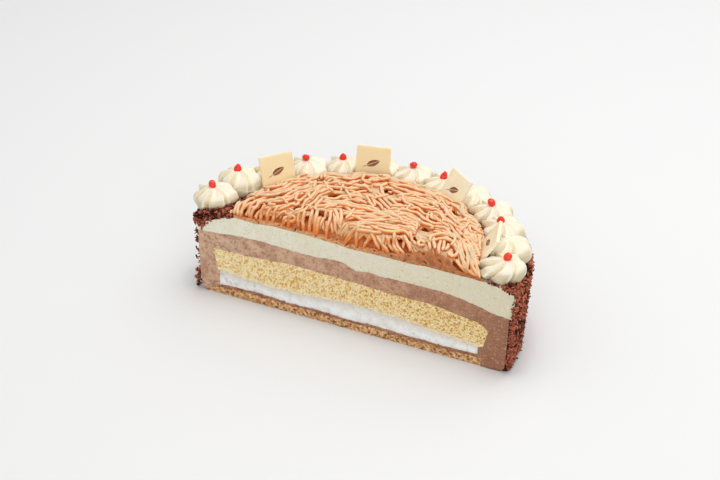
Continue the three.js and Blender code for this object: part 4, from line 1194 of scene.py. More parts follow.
def tube(body, pts, r, pile, open_sky, sides=6, step=1.5):
    d = np.r_[0, np.cumsum(np.linalg.norm(np.diff(pts, axis=0), axis=1))]
    n = max(5, int(round(d[-1] / step)) + 1)
    t = np.linspace(0, d[-1], n)
    P = np.stack([np.interp(t, d, pts[:, k]) for k in range(3)], 1)
    R = np.interp(t, d, r)
    T = np.gradient(P, axis=0)
    T /= np.maximum(np.linalg.norm(T, axis=1), 1e-9)[:, None]
    S = np.cross(T, [0, 0, 1.0])
    flat = np.linalg.norm(S, axis=1)
    S = np.where(flat[:, None] < 0.25, np.array([1.0, 0, 0]) - T * T[:, :1], S)
    for k in range(1, n):
        if S[k] @ S[k - 1] < 0:
            S[k] = -S[k]
    S /= np.maximum(np.linalg.norm(S, axis=1), 1e-6)[:, None]
    U = np.cross(S, T)
    R = R.copy()
    R[0] *= 0.6
    R[-1] *= 0.6
    a = np.arange(sides) * 2 * math.pi / sides
    way = 1.05 * np.cos(a)[None, :, None] * S[:, None, :] + 0.97 * np.sin(a)[None, :, None] * U[:, None, :]
    ring = P[:, None, :] + R[:, None, None] * way

    # painted shade: how far a point faces away from above, plus how far it lies under the strands around it
    def depth(q, up):
        return np.clip(0.58 * (1 - np.clip(up, -0.2, 1)) ** 1.15 + 0.55 * np.clip((pile.read(q[..., 0], np.maximum(q[..., 1], 0.6), open_sky) - q[..., 2]) / 2.6, 0, 1) * (0.35 + 0.65 * smooth(1.0, 5.0, q[..., 1])), 0, 1)

    ids = body.add(ring.reshape(-1, 3), deep=depth(ring, way[..., 2]).ravel()).reshape(n, sides)
    wrap = np.concatenate([ids, ids[:, :1]], 1)
    body.grid(wrap)
    for end, flip, k in ((0, 1, 1), (-1, -1, -2)):
        at = P[end] + (P[end] - P[k]) / max(np.linalg.norm(P[end] - P[k]), 1e-9) * R[end] * 0.5
        tip = body.add(at, deep=depth(at, 0.2))[0]
        row = wrap[end]
        tri = np.stack([row[:-1], row[1:], np.full(sides, tip)], 1)
        body.faces(tri[:, ::-1] if flip < 0 else tri)


def heap_piece(material):
    """The paste under the strands, with the smeared band where the knife passed."""
    n, m = 600, 26
    t = np.linspace(0, 1, n + 1)
    xs = -R_HEAP + 0.3 + (R_HEAP + R_HEAP_RIGHT - 0.6) * t
    v = np.linspace(0, 1, m + 1)
    lo = W_CREAM(xs)
    hi = C_CREAM(xs) + np.maximum(W_BAND(xs), 0.7)
    X = np.broadcast_to(xs[:, None], (n + 1, m + 1))
    Z = lo[:, None] * (1 - v) + hi[:, None] * v
    rng = np.random.default_rng(71)
    p = Pits(-78, 86, 52, 70)
    p.scatter(rng, 620, (-77, 85), (53, 66), 0.16, 0.55, 2.2, 0.9, flat=(0.4, 0.9))
    for x, z, r, fl, turn in BAND_PITS:
        p.hole(x, z, r, 1.5 * min(1.0, r), fl, math.radians(turn), 0.35)
    pit = p.at(X, Z)
    g = fbm(X * 0.55, Z, 0, 2.2, 72, 4)
    comb = fbm(X, Z * 0.28, 0, 1.9, 75, 2) * smooth(0.15, 0.75, v)[None, :]
    D = 0.05 + 0.20 * g + 0.42 * comb + pit * 0.95 + 0.45 * smooth(0.80, 1.0, v)[None, :] * (0.6 + 0.5 * fbm(X, 1, 0, 2.6, 73, 2))
    b = Body()
    # painted shade: the top of the band, under the hanging strands, and its grooves are marked deep
    shade = np.clip(0.25 * smooth(0.88, 1.0, v)[None, :] + 0.5 * np.clip(comb, 0, 1), 0, 1)
    ids = b.add(np.stack([X, np.clip(D, -0.2, 2.2), Z], -1).reshape(-1, 3), pit=np.clip(pit / 0.7, 0, 1).ravel(), deep=shade.ravel()).reshape(n + 1, m + 1)
    b.grid(ids)
    nc, K = 200, 60
    picks = [int(round(f * n)) for f in np.linspace(0, 1, nc + 1)]
    xc = xs[picks]
    ang = np.linspace(math.pi, 0, nc + 1)
    rim = heap_rim(ang) - 0.3
    ax, ay = rim * np.cos(ang), rim * np.sin(ang)
    kk = (np.arange(K + 1) / K)[None, :] ** 1.15
    X = xc[:, None] * (1 - kk) + ax[:, None] * kk
    Y = 2.3 * (1 - kk) + np.maximum(ay, 0)[:, None] * kk
    Y[0, :], Y[-1, :] = 2.3, 2.3
    X[0, :], X[-1, :] = xc[0], xc[-1]
    top = core_top(X, Y)
    edge = smooth(1.0, 0.93, kk)
    cream = C_CREAM.round(X, Y)
    top = cream + 0.1 + (top - cream) * edge
    # painted shade: the paste's top under the strands is marked deep, a little less near the cut, and its openings are
    # given darker pits
    deep = np.clip(0.85 + 0.3 * fbm(X, Y, 2, 3.0, 74, 2), 0, 1) * (0.45 + 0.55 * smooth(2.5, 6.0, Y))
    T = b.add(np.stack([X, Y, top], -1).reshape(-1, 3), pit=0.3 * hollow_at(X, Y).ravel(), deep=deep.ravel()).reshape(nc + 1, K + 1)
    b.grid(T, flip=True)
    B = b.add(np.stack([X[:, [0, -1]], Y[:, [0, -1]], cream[:, [0, -1]] + 0.02], -1).reshape(-1, 3)).reshape(nc + 1, 2)
    b.grid(B)
    b.grid(np.stack([T[:, K], B[:, 1]], 1), flip=True)
    b.zipped(ids[:, m], T[:, 0], picks)
    b.zipped(ids[:, 0], B[:, 0], picks)
    for row, c in ((0, 0), (n, nc)):
        b.faces([(ids[row, j], ids[row, j + 1], T[c, 0]) for j in range(m)] + [(ids[row, 0], T[c, 0], B[c, 0])])
    return make_piece("chestnut_heap_core", b, material, weld=True)


# holes in the smeared band: x, z, radius, narrowness, turn
BAND_PITS = [
    (47.8, 57.7, 1.3, 0.55, -25), (56.6, 61.0, 1.4, 0.5, -30), (46.7, 62.8, 1.0, 0.8, 0), (44.0, 58.9, 0.6, 0.6, 0),
    (50.9, 65.4, 0.8, 0.6, 10), (37.5, 59.1, 0.7, 0.6, 60), (35.2, 55.4, 0.8, 0.6, 20), (29.5, 58.8, 0.8, 0.5, -40), (27.0, 56.2, 0.7, 0.7, 0),
    (-62.8, 57.9, 1.2, 0.4, -40), (-60.9, 56.8, 1.4, 0.35, -50), (-58.9, 55.3, 0.9, 0.5, -60), (-34.5, 56.8, 1.2, 0.55, 70), (-31.2, 57.6, 1.0, 0.6, 60),
    (-26.0, 58.4, 1.1, 0.35, -10), (-20.8, 57.1, 1.3, 0.45, 65), (-13.0, 57.0, 1.1, 0.5, 40), (-7.9, 57.2, 0.9, 0.6, 0),
    (-1.5, 55.7, 1.3, 0.3, 35), (5.5, 56.3, 1.2, 0.35, -40), (16.3, 56.6, 0.8, 0.6, 0), (67.7, 58.3, 0.9, 0.5, 20), (-45.0, 57.0, 0.8, 0.5, 20),
]


# ------------------------------------------------------------------- flakes
def coat_in(a):
    return 77 + 18 * (1 - smooth(math.radians(1), math.radians(9), a))


def coat_top(a):
    return 1.5 + 1.1 * smooth(math.radians(150), math.radians(172), a)


def coat_path(a):
    """Points from the foot up the side and in over the rim, as (radius, height)."""
    rF, rM, rL, rT = (outline(p, a) for p in (R_FOOT, R_MOUSSE, R_CREAM_LOW, R_CREAM_TOP))
    side = blend_r((1.2, 1.9), a)
    def z_of(c, r):
        return float(c.round(np.float64(r * math.cos(a)), np.float64(max(r * math.sin(a), 0))))
    zl, zt = z_of(C_MOUSSE, rL), z_of(C_CREAM, rT)
    pts = [(rF + side * 0.5, 0.5), (rF + side, 2.0), (rM + side, zl * 0.55), (rL + 0.7 * side, zl + 1.4), (rT + 0.9, zt + 0.5)]
    rin = float(coat_in(a))
    for i in range(1, 5):
        r = rT + (rin - rT) * i / 4
        pts.append((r, z_of(C_CREAM, r) + float(coat_top(a)) * (1 if i < 4 else 0.5)))
    return np.array(pts)


def flake_core(material):
    """The mass under the loose flakes, coloured dark as painted shade between them."""
    turns, steps = 300, 56
    b = Body()
    rows = []
    for k in range(turns + 1):
        a = math.pi * k / turns
        p = resample(coat_path(a), steps)
        d = np.gradient(p, axis=0)
        ln = np.maximum(np.hypot(d[:, 0], d[:, 1]), 1e-9)
        nr, nz = d[:, 1] / ln, -d[:, 0] / ln
        rr = p[:, 0] / 1.0
        x, y = rr * math.cos(a), rr * math.sin(a)
        g = 0.55 * fbm(x, y, p[:, 1], 1.5, 81, 3) - 0.85
        # on the left edge of the cut the coat is thin and torn
        thin = smooth(math.radians(170), math.radians(178), a) * 0.9
        if thin > 0:
            g = g - thin * (p[:, 1] < 44) * (0.4 + 0.8 * (fbm(0, 0, p[:, 1], 5.0, 83, 2) < 0.1))
        r2, z2 = rr + nr * g, p[:, 1] + nz * g
        z2 = np.maximum(z2, 0.1)
        yy = np.maximum(r2 * math.sin(a), 0.0) + (0.5 if k in (0, turns) else 0.0)
        rows.append(b.add(np.stack([r2 * math.cos(a), yy, z2], 1), tone=0.15))
    rows = np.array(rows)
    b.grid(rows)
    # plain inside, hidden in the torte
    inner = []
    for k in range(turns + 1):
        a = math.pi * k / turns
        p = coat_path(a)
        side = blend_r((1.2, 1.9), a)
        q = np.array([(p[0][0] - side - 0.6, 0.4), (p[3][0] - side - 0.6, p[3][1]), (p[4][0] - side - 1.2, p[4][1] - 2.2), (p[-1][0], p[-1][1] - 2.2)])
        yy = np.maximum(q[:, 0] * math.sin(a), 0.5)
        inner.append(b.add(np.stack([q[:, 0] * math.cos(a), yy, q[:, 1]], 1)))
    inner = np.array(inner)
    b.grid(inner, flip=True)
    b.grid(np.stack([rows[:, 0], inner[:, 0]], 1), flip=True)
    b.grid(np.stack([rows[:, -1], inner[:, -1]], 1))
    picks = [0, 18, 36, 44, steps - 1]
    for k in (0, turns):
        line = np.r_[inner[k][0], inner[k]]
        b.zipped(rows[k], [inner[k][0], inner[k][0], inner[k][1], inner[k][2], inner[k][3]], picks)
    return make_piece("flake_core", b, material, ("flake_coat",), weld=True)


UNIT = np.array([[-1, -1, -1], [1, -1, -1], [1, 1, -1], [-1, 1, -1], [-1, -1, 1], [1, -1, 1], [1, 1, 1], [-1, 1, 1]], float)
UNIT_F = np.array([[0, 3, 2, 1], [4, 5, 6, 7], [0, 1, 5, 4], [1, 2, 6, 5], [2, 3, 7, 6], [3, 0, 4, 7]])


def scatter_flakes(body, at, normal, rng, size=1.0, tilt=0.6, tone=(0.0, 1.0)):
    """A crooked little stick at each point, lying along the surface with some tilt."""
    k = len(at)
    n = normal + rng.normal(0, tilt * 0.45, (k, 3))
    n /= np.linalg.norm(n, axis=1)[:, None]
    t = np.cross(n, rng.normal(0, 1, (k, 3)))
    t /= np.linalg.norm(t, axis=1)[:, None]
    t = t + n * rng.normal(0, tilt * 0.55, k)[:, None]
    t /= np.linalg.norm(t, axis=1)[:, None]
    s = np.cross(n, t)
    s /= np.linalg.norm(s, axis=1)[:, None]
    u = np.cross(t, s)
    L = size * rng.uniform(0.5, 1.5, k)
    W = size * rng.uniform(0.26, 0.46, k)
    H = size * rng.uniform(0.20, 0.36, k)
    q = np.repeat(UNIT[None], k, 0) * (1 + rng.uniform(-0.28, 0.28, (k, 8, 3)))
    bend = rng.uniform(-0.25, 0.25, k)
    q[:, :, 2] += (q[:, :, 0] ** 2 - 0.5) * bend[:, None] * 2.0
    P = at[:, None, :] + q[:, :, 0:1] * (L[:, None] * 1.0)[:, :, None] * t[:, None, :] + q[:, :, 1:2] * W[:, None, None] * s[:, None, :] + q[:, :, 2:3] * H[:, None, None] * u[:, None, :]
    P[:, :, 2] = np.maximum(P[:, :, 2], 0.05)
    shade = np.repeat(np.clip(rng.uniform(tone[0], tone[1], k), 0, 1), 8)
    ids = body.add(P.reshape(-1, 3), tone=shade)
    base = ids[0] + 8 * np.arange(k)
    body.faces((base[:, None, None] + UNIT_F[None]).reshape(-1, 4))


def flakes_piece(material):
    rng = np.random.default_rng(9)
    b = Body()
    at, nrm, low_at, low_nrm = [], [], [], []
    count = 12300
    A = rng.uniform(0, math.pi, count)
    for a in A:
        p = coat_path_cached(a)
        seg = np.hypot(*np.diff(p, axis=0).T)
        # the side gets most of them; the rim under the piping fewer
        seg[5:] *= 0.45
        if a > math.radians(150):
            seg[4:] *= 2.0
        if a < math.radians(14):
            seg[4:] *= 1.8
        u = rng.random() * seg.sum()
        i = int(np.searchsorted(np.cumsum(seg), u))
        i = min(i, len(seg) - 1)
        f = rng.random()
        r = p[i][0] + (p[i + 1][0] - p[i][0]) * f
        z = p[i][1] + (p[i + 1][1] - p[i][1]) * f
        d = p[i + 1] - p[i]
        ln = math.hypot(*d)
        nr, nz = d[1] / ln, -d[0] / ln
        y = r * math.sin(a)
        if a > math.radians(171) and z < 44 and y < 12:
            # the left edge of the cut: patches with bare mousse between
            bare = (14 < z < 31) or (33.5 < z < 36) or (40 < z < 44)
            if rng.random() < (0.93 if bare else 0.45):
                continue
        # painted shade: about a third lie deeper in the coat and are coloured dark
        deep = rng.random() < 0.35
        off = rng.uniform(-1.1, -0.5) if deep else rng.uniform(-0.5, 0.7) + (rng.random() < 0.12) * rng.uniform(0.2, 0.9)
        q = ((r + nr * off) * math.cos(a), max(0.3, (r + nr * off) * math.sin(a)), z + nz * off)
        (low_at if deep else at).append(q)
        (low_nrm if deep else nrm).append((nr * math.cos(a), nr * math.sin(a), nz))
    scatter_flakes(b, np.array(low_at), np.array(low_nrm), rng, 1.0, 0.5, (0.0, 0.12))
    scatter_flakes(b, np.array(at), np.array(nrm), rng, 1.1, 1.3, (-0.05, 1.15))
    # the thick patch on the left shoulder, hanging over the cut's edge
    k = 1150
    x = rng.uniform(-101.8, -76.5, k)
    y = np.abs(rng.normal(0, 5.5, k)) * (0.55 + 0.45 * (x < -80)) + 0.1
    zz = C_CREAM.round(x, y)
    high = (3.4 + 2.6 * smooth(-84, -92, x)) * smooth(-104.0, -100.5, x) * smooth(-76.0, -82, x) + 0.6
    lift = rng.random(k)
    P = np.stack([x, y, zz + (0.1 + 0.9 * lift) * high], 1)
    # painted shade: over half of them are coloured near black, as the shade under the piping
    dark = rng.random(k) < 0.55
    scatter_flakes(b, P[dark], np.tile([0, -0.3, 1.0], (int(dark.sum()), 1)), rng, 1.2, 1.6, (0.0, 0.10))
    scatter_flakes(b, P[~dark], np.tile([0, -0.3, 1.0], (int((~dark).sum()), 1)), rng, 1.35, 2.0, (0.35, 0.95))
    k = 60
    P = np.stack([rng.normal(-97.2, 1.3, k), rng.uniform(-1.2, 0.3, k), np.zeros(k)], 1)
    P[:, 2] = C_CREAM(P[:, 0]) - np.abs(rng.normal(0, 1.9, k)) + 1.2
    scatter_flakes(b, P, np.tile([0, -1.0, 0.4], (k, 1)), rng, 1.0, 1.2, (0.1, 0.8))
    # stuck along the left edge of the cut, in clumps
    for z0, z1, k in ((45, 56, 70), (36, 40, 14), (31, 34.5, 12), (16, 27, 10), (1.5, 13, 60)):
        P = np.stack([rng.uniform(-102.2, -100.2, k) + np.where(z1 > 50, -0.4, 0.0), rng.uniform(-0.4, 2.2, k), rng.uniform(z0, z1, k)], 1)
        P[:, 2] = np.minimum(P[:, 2], C_CREAM(P[:, 0]) + 2.0)
        scatter_flakes(b, P, np.tile([-1.0, -0.3, 0.2], (k, 1)), rng, 0.95, 1.2, (0.0, 0.7))
    # along the right edge of the cut
    k = 210
    z = rng.uniform(2.6, 52, k)
    edge = np.interp(z, [0, 3, 20, 38, 46, 52], [99.4, 100.9, 101.4, 102.4, 103.2, 104.2])
    P = np.stack([edge + rng.uniform(-0.9, 1.2, k), rng.uniform(-0.7, 1.0, k), z], 1)
    scatter_flakes(b, P, np.tile([0.8, -0.6, 0.0], (k, 1)), rng, 0.95, 1.0, (0.1, 1.0))
    # between the strands and the piping on the left
    k = 230
    x = rng.uniform(-83, -74, k)
    y = rng.uniform(7, 34, k)
    P = np.stack([x, y, C_CREAM.round(x, y) + rng.uniform(0.3, 2.4, k)], 1)
    scatter_flakes(b, P, np.tile([0.2, 0, 1.0], (k, 1)), rng, 1.1, 1.2, (0.0, 0.7))
    # in the gaps between the heap and the piping further round
    for x0, y0, k in ((-71.5, 51, 30), (-52, 67, 26), (-33, 75, 22), (-12, 78, 22), (9, 77, 22), (31, 71, 34), (50, 60, 26), (66, 42, 26), (76, 24, 26)):
        r = rng.normal(0, 2.2, (k, 2))
        x, y = x0 + r[:, 0], y0 + r[:, 1]
        P = np.stack([x, y, C_CREAM.round(x, y) + rng.uniform(0.2, 2.0, k)], 1)
        scatter_flakes(b, P, np.tile([0.0, 0, 1.0], (k, 1)), rng, 1.0, 1.2, (0.0, 0.6))
    # the right end: a few crumbs on the cream, then dense
    k = 34
    x = rng.uniform(85, 95, k)
    y = rng.uniform(0.2, 2.6, k)
    P = np.stack([x, y, C_CREAM.round(x, y) + 0.25], 1)
    scatter_flakes(b, P, np.tile([0, 0, 1.0], (k, 1)), rng, 0.8, 0.5, (0.0, 0.5))
    k = 520
    x = 95 + 9.8 * rng.random(k) ** 0.7
    y = rng.uniform(0.0, 9.0, k)
    P = np.stack([x, y, C_CREAM.round(x, y) + rng.uniform(0.1, 1.8, k) * smooth(94, 97, x)], 1)
    scatter_flakes(b, P, np.tile([0.3, -0.1, 1.0], (k, 1)), rng, 1.0, 1.2, (0.0, 0.9))
    return make_piece("chocolate_flakes", b, material, smooth_shade=False)


def shavings_piece(material):
    """A few larger curled shavings caught between the heap and the piping."""
    rng = np.random.default_rng(19)
    b = Body()
    for x, y, lift, turn, size, curl in ((-78.0, 9.5, 1.6, 55, 3.4, 1.5), (-76.4, 14.0, 1.4, 110, 2.6, 1.2), (-84.0, 3.2, 2.6, 20, 2.2, 1.0), (-80.5, 22.0, 1.2, 80, 2.2, 1.3), (86.5, 1.6, 0.5, 10, 1.6, 0.8), (47.0, 61.5, 1.2, 150, 2.4, 1.0)):
        n, m = 14, 7
        s = np.linspace(-1, 1, n + 1)[:, None]
        v = np.linspace(-1, 1, m + 1)[None, :]
        a = s * curl
        r = size / curl
        px = r * np.sin(a) * np.ones_like(v)
        pz = r * (1 - np.cos(a)) * 0.8 + 0 * v
        py = v * size * 0.62 * (1 - 0.15 * s ** 2)
        g = 0.22 * fbm(px + 30 * x, py, pz, 1.8, 97, 2)
        c, q = math.cos(math.radians(turn)), math.sin(math.radians(turn))
        base = np.array([x, y, float(C_CREAM.round(np.float64(x), np.float64(y))) + lift])
        sheets = []
        for off in (0.28, -0.28):
            X, Y, Z = px - off * np.sin(a) * 1.0, py, pz + off * np.cos(a) + g
            P = np.stack([c * X - q * Y, q * X + c * Y, Z], -1)
            sheets.append(b.add((P + base).reshape(-1, 3), tone=0.85).reshape(n + 1, m + 1))
        top, bot = sheets
        b.grid(top)
        b.grid(bot, flip=True)
        for A, B, fl in ((top[0], bot[0], False), (top[-1], bot[-1], True), (top[:, 0], bot[:, 0], True), (top[:, -1], bot[:, -1], False)):
            b.grid(np.stack([A, B], 0), flip=fl)
    return make_piece("chocolate_shavings", b, material, weld=True)


_paths = {}


def coat_path_cached(a):
    k = int(round(a / math.pi * 720))
    if k not in _paths:
        _paths[k] = coat_path(math.pi * k / 720)
    return _paths[k]


# ----------------------------------------------------------------- rosettes
def coat_surface(x, y):
    a = np.arctan2(np.maximum(y, 0), x)
    r = np.hypot(x, y)
    rT = outline(R_CREAM_TOP, a)
    rr = np.minimum(r, rT)
    over = np.maximum(0, r - rT)
    return C_CREAM.round(rr * np.cos(a), rr * np.sin(a)) + 0.3 + 1.5 + 1.1 * smooth(math.radians(150), math.radians(172), a) - 0.25 * over


def press(i, phi):
    """How far rosette i may reach in direction phi before its neighbours or the cut stop it."""
    x, y = ROSETTES[i][0], ROSETTES[i][1]
    lim = np.full(np.shape(phi), 99.0)
    for j in (i - 1, i + 1):
        if not 0 <= j < len(ROSETTES):
            continue
        dx, dy = ROSETTES[j][0] - x, ROSETTES[j][1] - y
        d = math.hypot(dx, dy)
        c = (np.cos(phi) * dx + np.sin(phi) * dy) / d
        lim = np.where(c > 0.05, np.minimum(lim, (d / 2 + 0.35) / np.maximum(c, 0.05)), lim)
    s = np.sin(phi)
    # the last one hangs a little over the cut
    room = y + 1.0 if i == len(ROSETTES) - 1 else y - 0.15
    return np.where(s < -0.05, np.minimum(lim, room / np.maximum(-s, 0.05)), lim)


# half outline of a piped rosette: drawn in at the foot, a steep side, a rounded top
PROFILE = np.array([(0.76, 0.0), (0.86, 0.07), (0.94, 0.16), (0.985, 0.27), (1.0, 0.39), (0.995, 0.51), (0.97, 0.62), (0.93, 0.72), (0.865, 0.81), (0.78, 0.88), (0.675, 0.93), (0.56, 0.965), (0.44, 0.985), (0.32, 0.995), (0.21, 1.0), (0.12, 0.995)])


def behind_plaques(P, touching):
    """Moves what would stand out through a plaque to just behind it."""
    for spec in touching:
        c, u, n, r = plaque_frame(spec)
        q = P - c
        a, h, d = q @ u, q @ r, q @ n
        win = smooth(PLAQUE[0] / 2 + 2.6, PLAQUE[0] / 2 + 0.4, np.abs(a)) * smooth(PLAQUE[2] / 2 + 2.6, PLAQUE[2] / 2 + 0.4, np.abs(h))
        need = np.clip(PLAQUE[1] / 2 + 0.12 - d, 0, 12)
        P = P + (need * win)[..., None] * n
    return P


def rosette_piece(i, material):
    x, y, tx, ty, z_top, turn, drop = ROSETTES[i]
    rng = np.random.default_rng(300 + i)
    lobes, n, rows = (6 if i in (11, 12) else 7), 168, 38
    prof = resample(PROFILE * [1.0, 1.3], rows) / [1.0, 1.3]
    phi = 2 * math.pi * np.arange(n) / n
    fr, fz = prof[:, 0][:, None], prof[:, 1][:, None]
    # petals of uneven width, with a narrow crease between and a thin raised rim on both sides of it
    width = rng.uniform(0.74, 1.26, lobes)
    ends = np.r_[0, np.cumsum(width)] / width.sum() * 2 * math.pi
    li = np.clip(np.searchsorted(ends, phi, side="right") - 1, 0, lobes - 1)
    f = (phi - ends[li]) / (ends[li + 1] - ends[li])
    e = np.abs(2 * f - 1)
    saw = np.where(f < 0.84, (f / 0.84) ** 1.5, ((1 - f) / 0.16) ** 0.8)
    h = 0.58 * (1 - e ** 2.8) + 0.42 * saw
    rim = np.exp(-((f - 0.84) / 0.065) ** 2) + 0.45 * np.exp(-((f - 0.15) / 0.065) ** 2)
    dish = np.exp(-((f - 0.46) / 0.20) ** 2)

    def around(values, sigma=2.5):
        v = np.tile(values[li], 3)
        return gauss1(v, sigma)[n:2 * n]
    size = around(rng.uniform(0.93, 1.07, lobes))
    tall = around(rng.uniform(-1.2, 0.7, lobes), 3.0)
    st = around(rng.uniform(0.8, 1.15, lobes), 5.0)
    above = fz > 0.60
    keep = np.where(above, np.interp(fr, [0.12, 0.4, 0.75, 0.95], [0.5, 0.85, 1.0, 1.0]), np.interp(fz, [0, 0.2, 0.5], [0.55, 0.9, 1.0]))
    crease = 0.23 * st[None, :] * keep
    round_out = 0.075 * (e ** 2)[None, :] * keep
    r = ROS_R * fr * (1 - crease * (1 - h[None, :]) - round_out) * (1 + (size - 1)[None, :] * smooth(0, 0.2, fz))
    body_mask = smooth(0.10, 0.40, fz) * smooth(0.10, 0.35, fr)
    r = r + (0.80 * rim[None, :] - 0.75 * dish[None, :]) * body_mask
    inward = np.clip(1.0 - fr, 0, 1) * above
    ang = turn + phi[None, :] + 0.14 * fz + 0.55 * inward ** 1.2
    cx, cy = (tx - x) * fz ** 2, (ty - y) * fz ** 2
    px, py = cx + r * np.cos(ang), cy + r * np.sin(ang)
    # pressed flat against its neighbours, softly
    pr, pa = np.hypot(px, py), np.arctan2(py, px)
    lim = press(i, pa)
    k = 0.9
    new = np.where(pr > lim - k, lim - k * np.exp(-np.clip(pr - lim + k, 0, 60) / k), pr)
    px, py = px * new / pr, py * new / pr
    zf = coat_surface(x + px[0], y + py[0]) - 0.7 + FOOT_LIFT.get(i, 0.0)
    z = zf[None, :] + (z_top - zf[None, :]) * fz
    # high in the middle of a petal, low in the creases, easing towards the tip
    ease = smooth(0.25, 0.62, fz) * np.where(above, smooth(0.10, 0.75, fr), 1.0)
    z = z - 3.0 * (1 - h)[None, :] * ease * st[None, :] + tall[None, :] * ease
    z = z + (0.75 * rim - 0.50 * dish)[None, :] * body_mask * above
    g = 0.24 * fbm(px + 40 * i, py, z, 3.0, 91, 3)
    px, py, z = px + g * np.cos(ang), py + g * np.sin(ang), z + 0.6 * g
    touching = [s for s in PLAQUES if math.hypot(s[0] - x, s[1] - y) < 32 and i in BEHIND[PLAQUES.index(s)]]
    P = behind_plaques(np.stack([x + px, y + py, z], -1), touching)
    b = Body()
    # painted shade: pit marks the creases, which the material tints yellow
    pit = (np.clip(1 - h, 0, 1)[None, :] ** 1.6) * smooth(0.15, 0.5, fz) * np.where(above, 0.8 * smooth(0.1, 0.8, fr) + 0.2, 1.0)
    # painted shade: wall marks the petal faces below the rims, which the material colours olive grey
    wall = np.clip(1 - 1.4 * rim, 0, 1)[None, :] * smooth(0.90, 0.60, fz) * (0.55 + 0.45 * smooth(0.0, 0.35, fz))
    ids = b.add(P.reshape(-1, 3), pit=pit.ravel(), low=wall.ravel()).reshape(rows, n)
    wrap = np.concatenate([ids, ids[:, :1]], 1)
    b.grid(wrap, flip=True)
    # the middle of the top: a small hollow under a drop, or a short pulled tip
    prev = wrap[-1]
    last = P[-1]
    for f2, dz in ((0.66, -0.25 if drop else 0.25), (0.36, -0.9 if drop else 0.65)):
        ring = np.stack([tx + (last[:, 0] - tx) * f2, ty + (last[:, 1] - ty) * f2, last[:, 2] * f2 + (1 - f2) * z_top + dz], 1)
        q = b.add(ring, pit=0.3)
        q = np.r_[q, q[:1]]
        b.grid(np.stack([prev, q], 0), flip=True)
        prev = q
    tip = b.add([(tx, ty, z_top + (-1.35 if drop else 1.15))], pit=0.3)[0]
    b.faces(np.stack([prev[:-1], prev[1:], np.full(n, tip)], 1))
    low = b.add([(x, y, zf.mean() - 0.2)])[0]
    b.faces(np.stack([wrap[0][1:], wrap[0][:-1], np.full(n, low)], 1))
    return make_piece(f"piped_rosette_{i + 1:02d}", b, material, (f"rosette_{i + 1:02d}",), weld=True)


# how much higher than the rim's surface the foot of a rosette stands
FOOT_LIFT = {0: 1.9, 12: -1.5}
# which rosettes stand behind each plaque
BEHIND = ((1, 2, 3), (4, 5, 6), (7, 8, 9), (10, 11))


def jelly_piece(k, spec, material):
    tx, ty, z_top = spec[2], spec[3], spec[4]
    rng = np.random.default_rng(400 + k)
    nu, nv = 32, 22
    th = 2 * math.pi * np.arange(nu) / nu
    ph = np.linspace(-math.pi / 2, math.pi / 2, nv + 1)[1:-1]
    up = np.sin(ph)[:, None]
    flat = np.cos(ph)[:, None]
    P = np.stack([flat * np.cos(th), flat * np.sin(th), np.broadcast_to(up, (len(ph), nu))], -1)
    # slightly angular, like a cut drop of jelly
    axes = rng.normal(0, 1, (7, 3))
    axes /= np.linalg.norm(axes, axis=1)[:, None]
    s = np.max(P @ axes.T, axis=-1)
    bulge = 1 - 0.08 * smooth(0.80, 1.0, s)
    half = np.array([2.3, 2.3, 2.75]) * rng.uniform(0.94, 1.05, 3)
    Q = P * bulge[..., None] * half
    # drawn to a blunt point at one end
    Q[..., :2] *= (1 - 0.30 * np.clip(P[..., 2:3], -1, 1) * (1 if k % 2 else -1))
    lean = np.clip(rng.normal(0, 0.3, 2), -0.3, 0.3)
    Q[..., 0] += lean[0] * Q[..., 2]
    Q[..., 1] += lean[1] * Q[..., 2]
    c = np.array([tx, ty, z_top + 0.95])
    b = Body()
    ids = b.add((Q + c).reshape(-1, 3)).reshape(len(ph), nu)
    wrap = np.concatenate([ids, ids[:, :1]], 1)
    b.grid(wrap, flip=True)
    low, high = -half[2] * float(bulge[0].mean()), half[2] * float(bulge[-1].mean())
    lo = b.add([c + np.array([lean[0] * low, lean[1] * low, low])])[0]
    hi = b.add([c + np.array([lean[0] * high, lean[1] * high, high])])[0]
    b.faces(np.stack([wrap[0][:-1], np.full(nu, lo), wrap[0][1:]], 1))
    b.faces(np.stack([wrap[-1][:-1], wrap[-1][1:], np.full(nu, hi)], 1))
    return make_piece(f"red_jelly_{k + 1}", b, material, (f"jelly_drop_{k + 1}",), weld=True)


# ------------------------------------------------------------------ plaques
def plaque_frame(spec):
    x, y, z, turn, lean, tilt = spec
    psi, le, ro = (math.radians(v) for v in (turn, lean, tilt))
    u = np.array([math.cos(psi), math.sin(psi), 0])
    back = np.array([-math.sin(psi), math.cos(psi), 0])
    rise = np.array([0, 0, math.cos(le)]) + back * math.sin(le)
    u2 = u * math.cos(ro) + rise * math.sin(ro)
    r2 = rise * math.cos(ro) - u * math.sin(ro)
    n = np.cross(r2, u2)      # out of the back
    centre = np.array([x, y, z]) + r2 * PLAQUE[2] / 2 + n * PLAQUE[1] / 2
    return centre, u2, n, r2


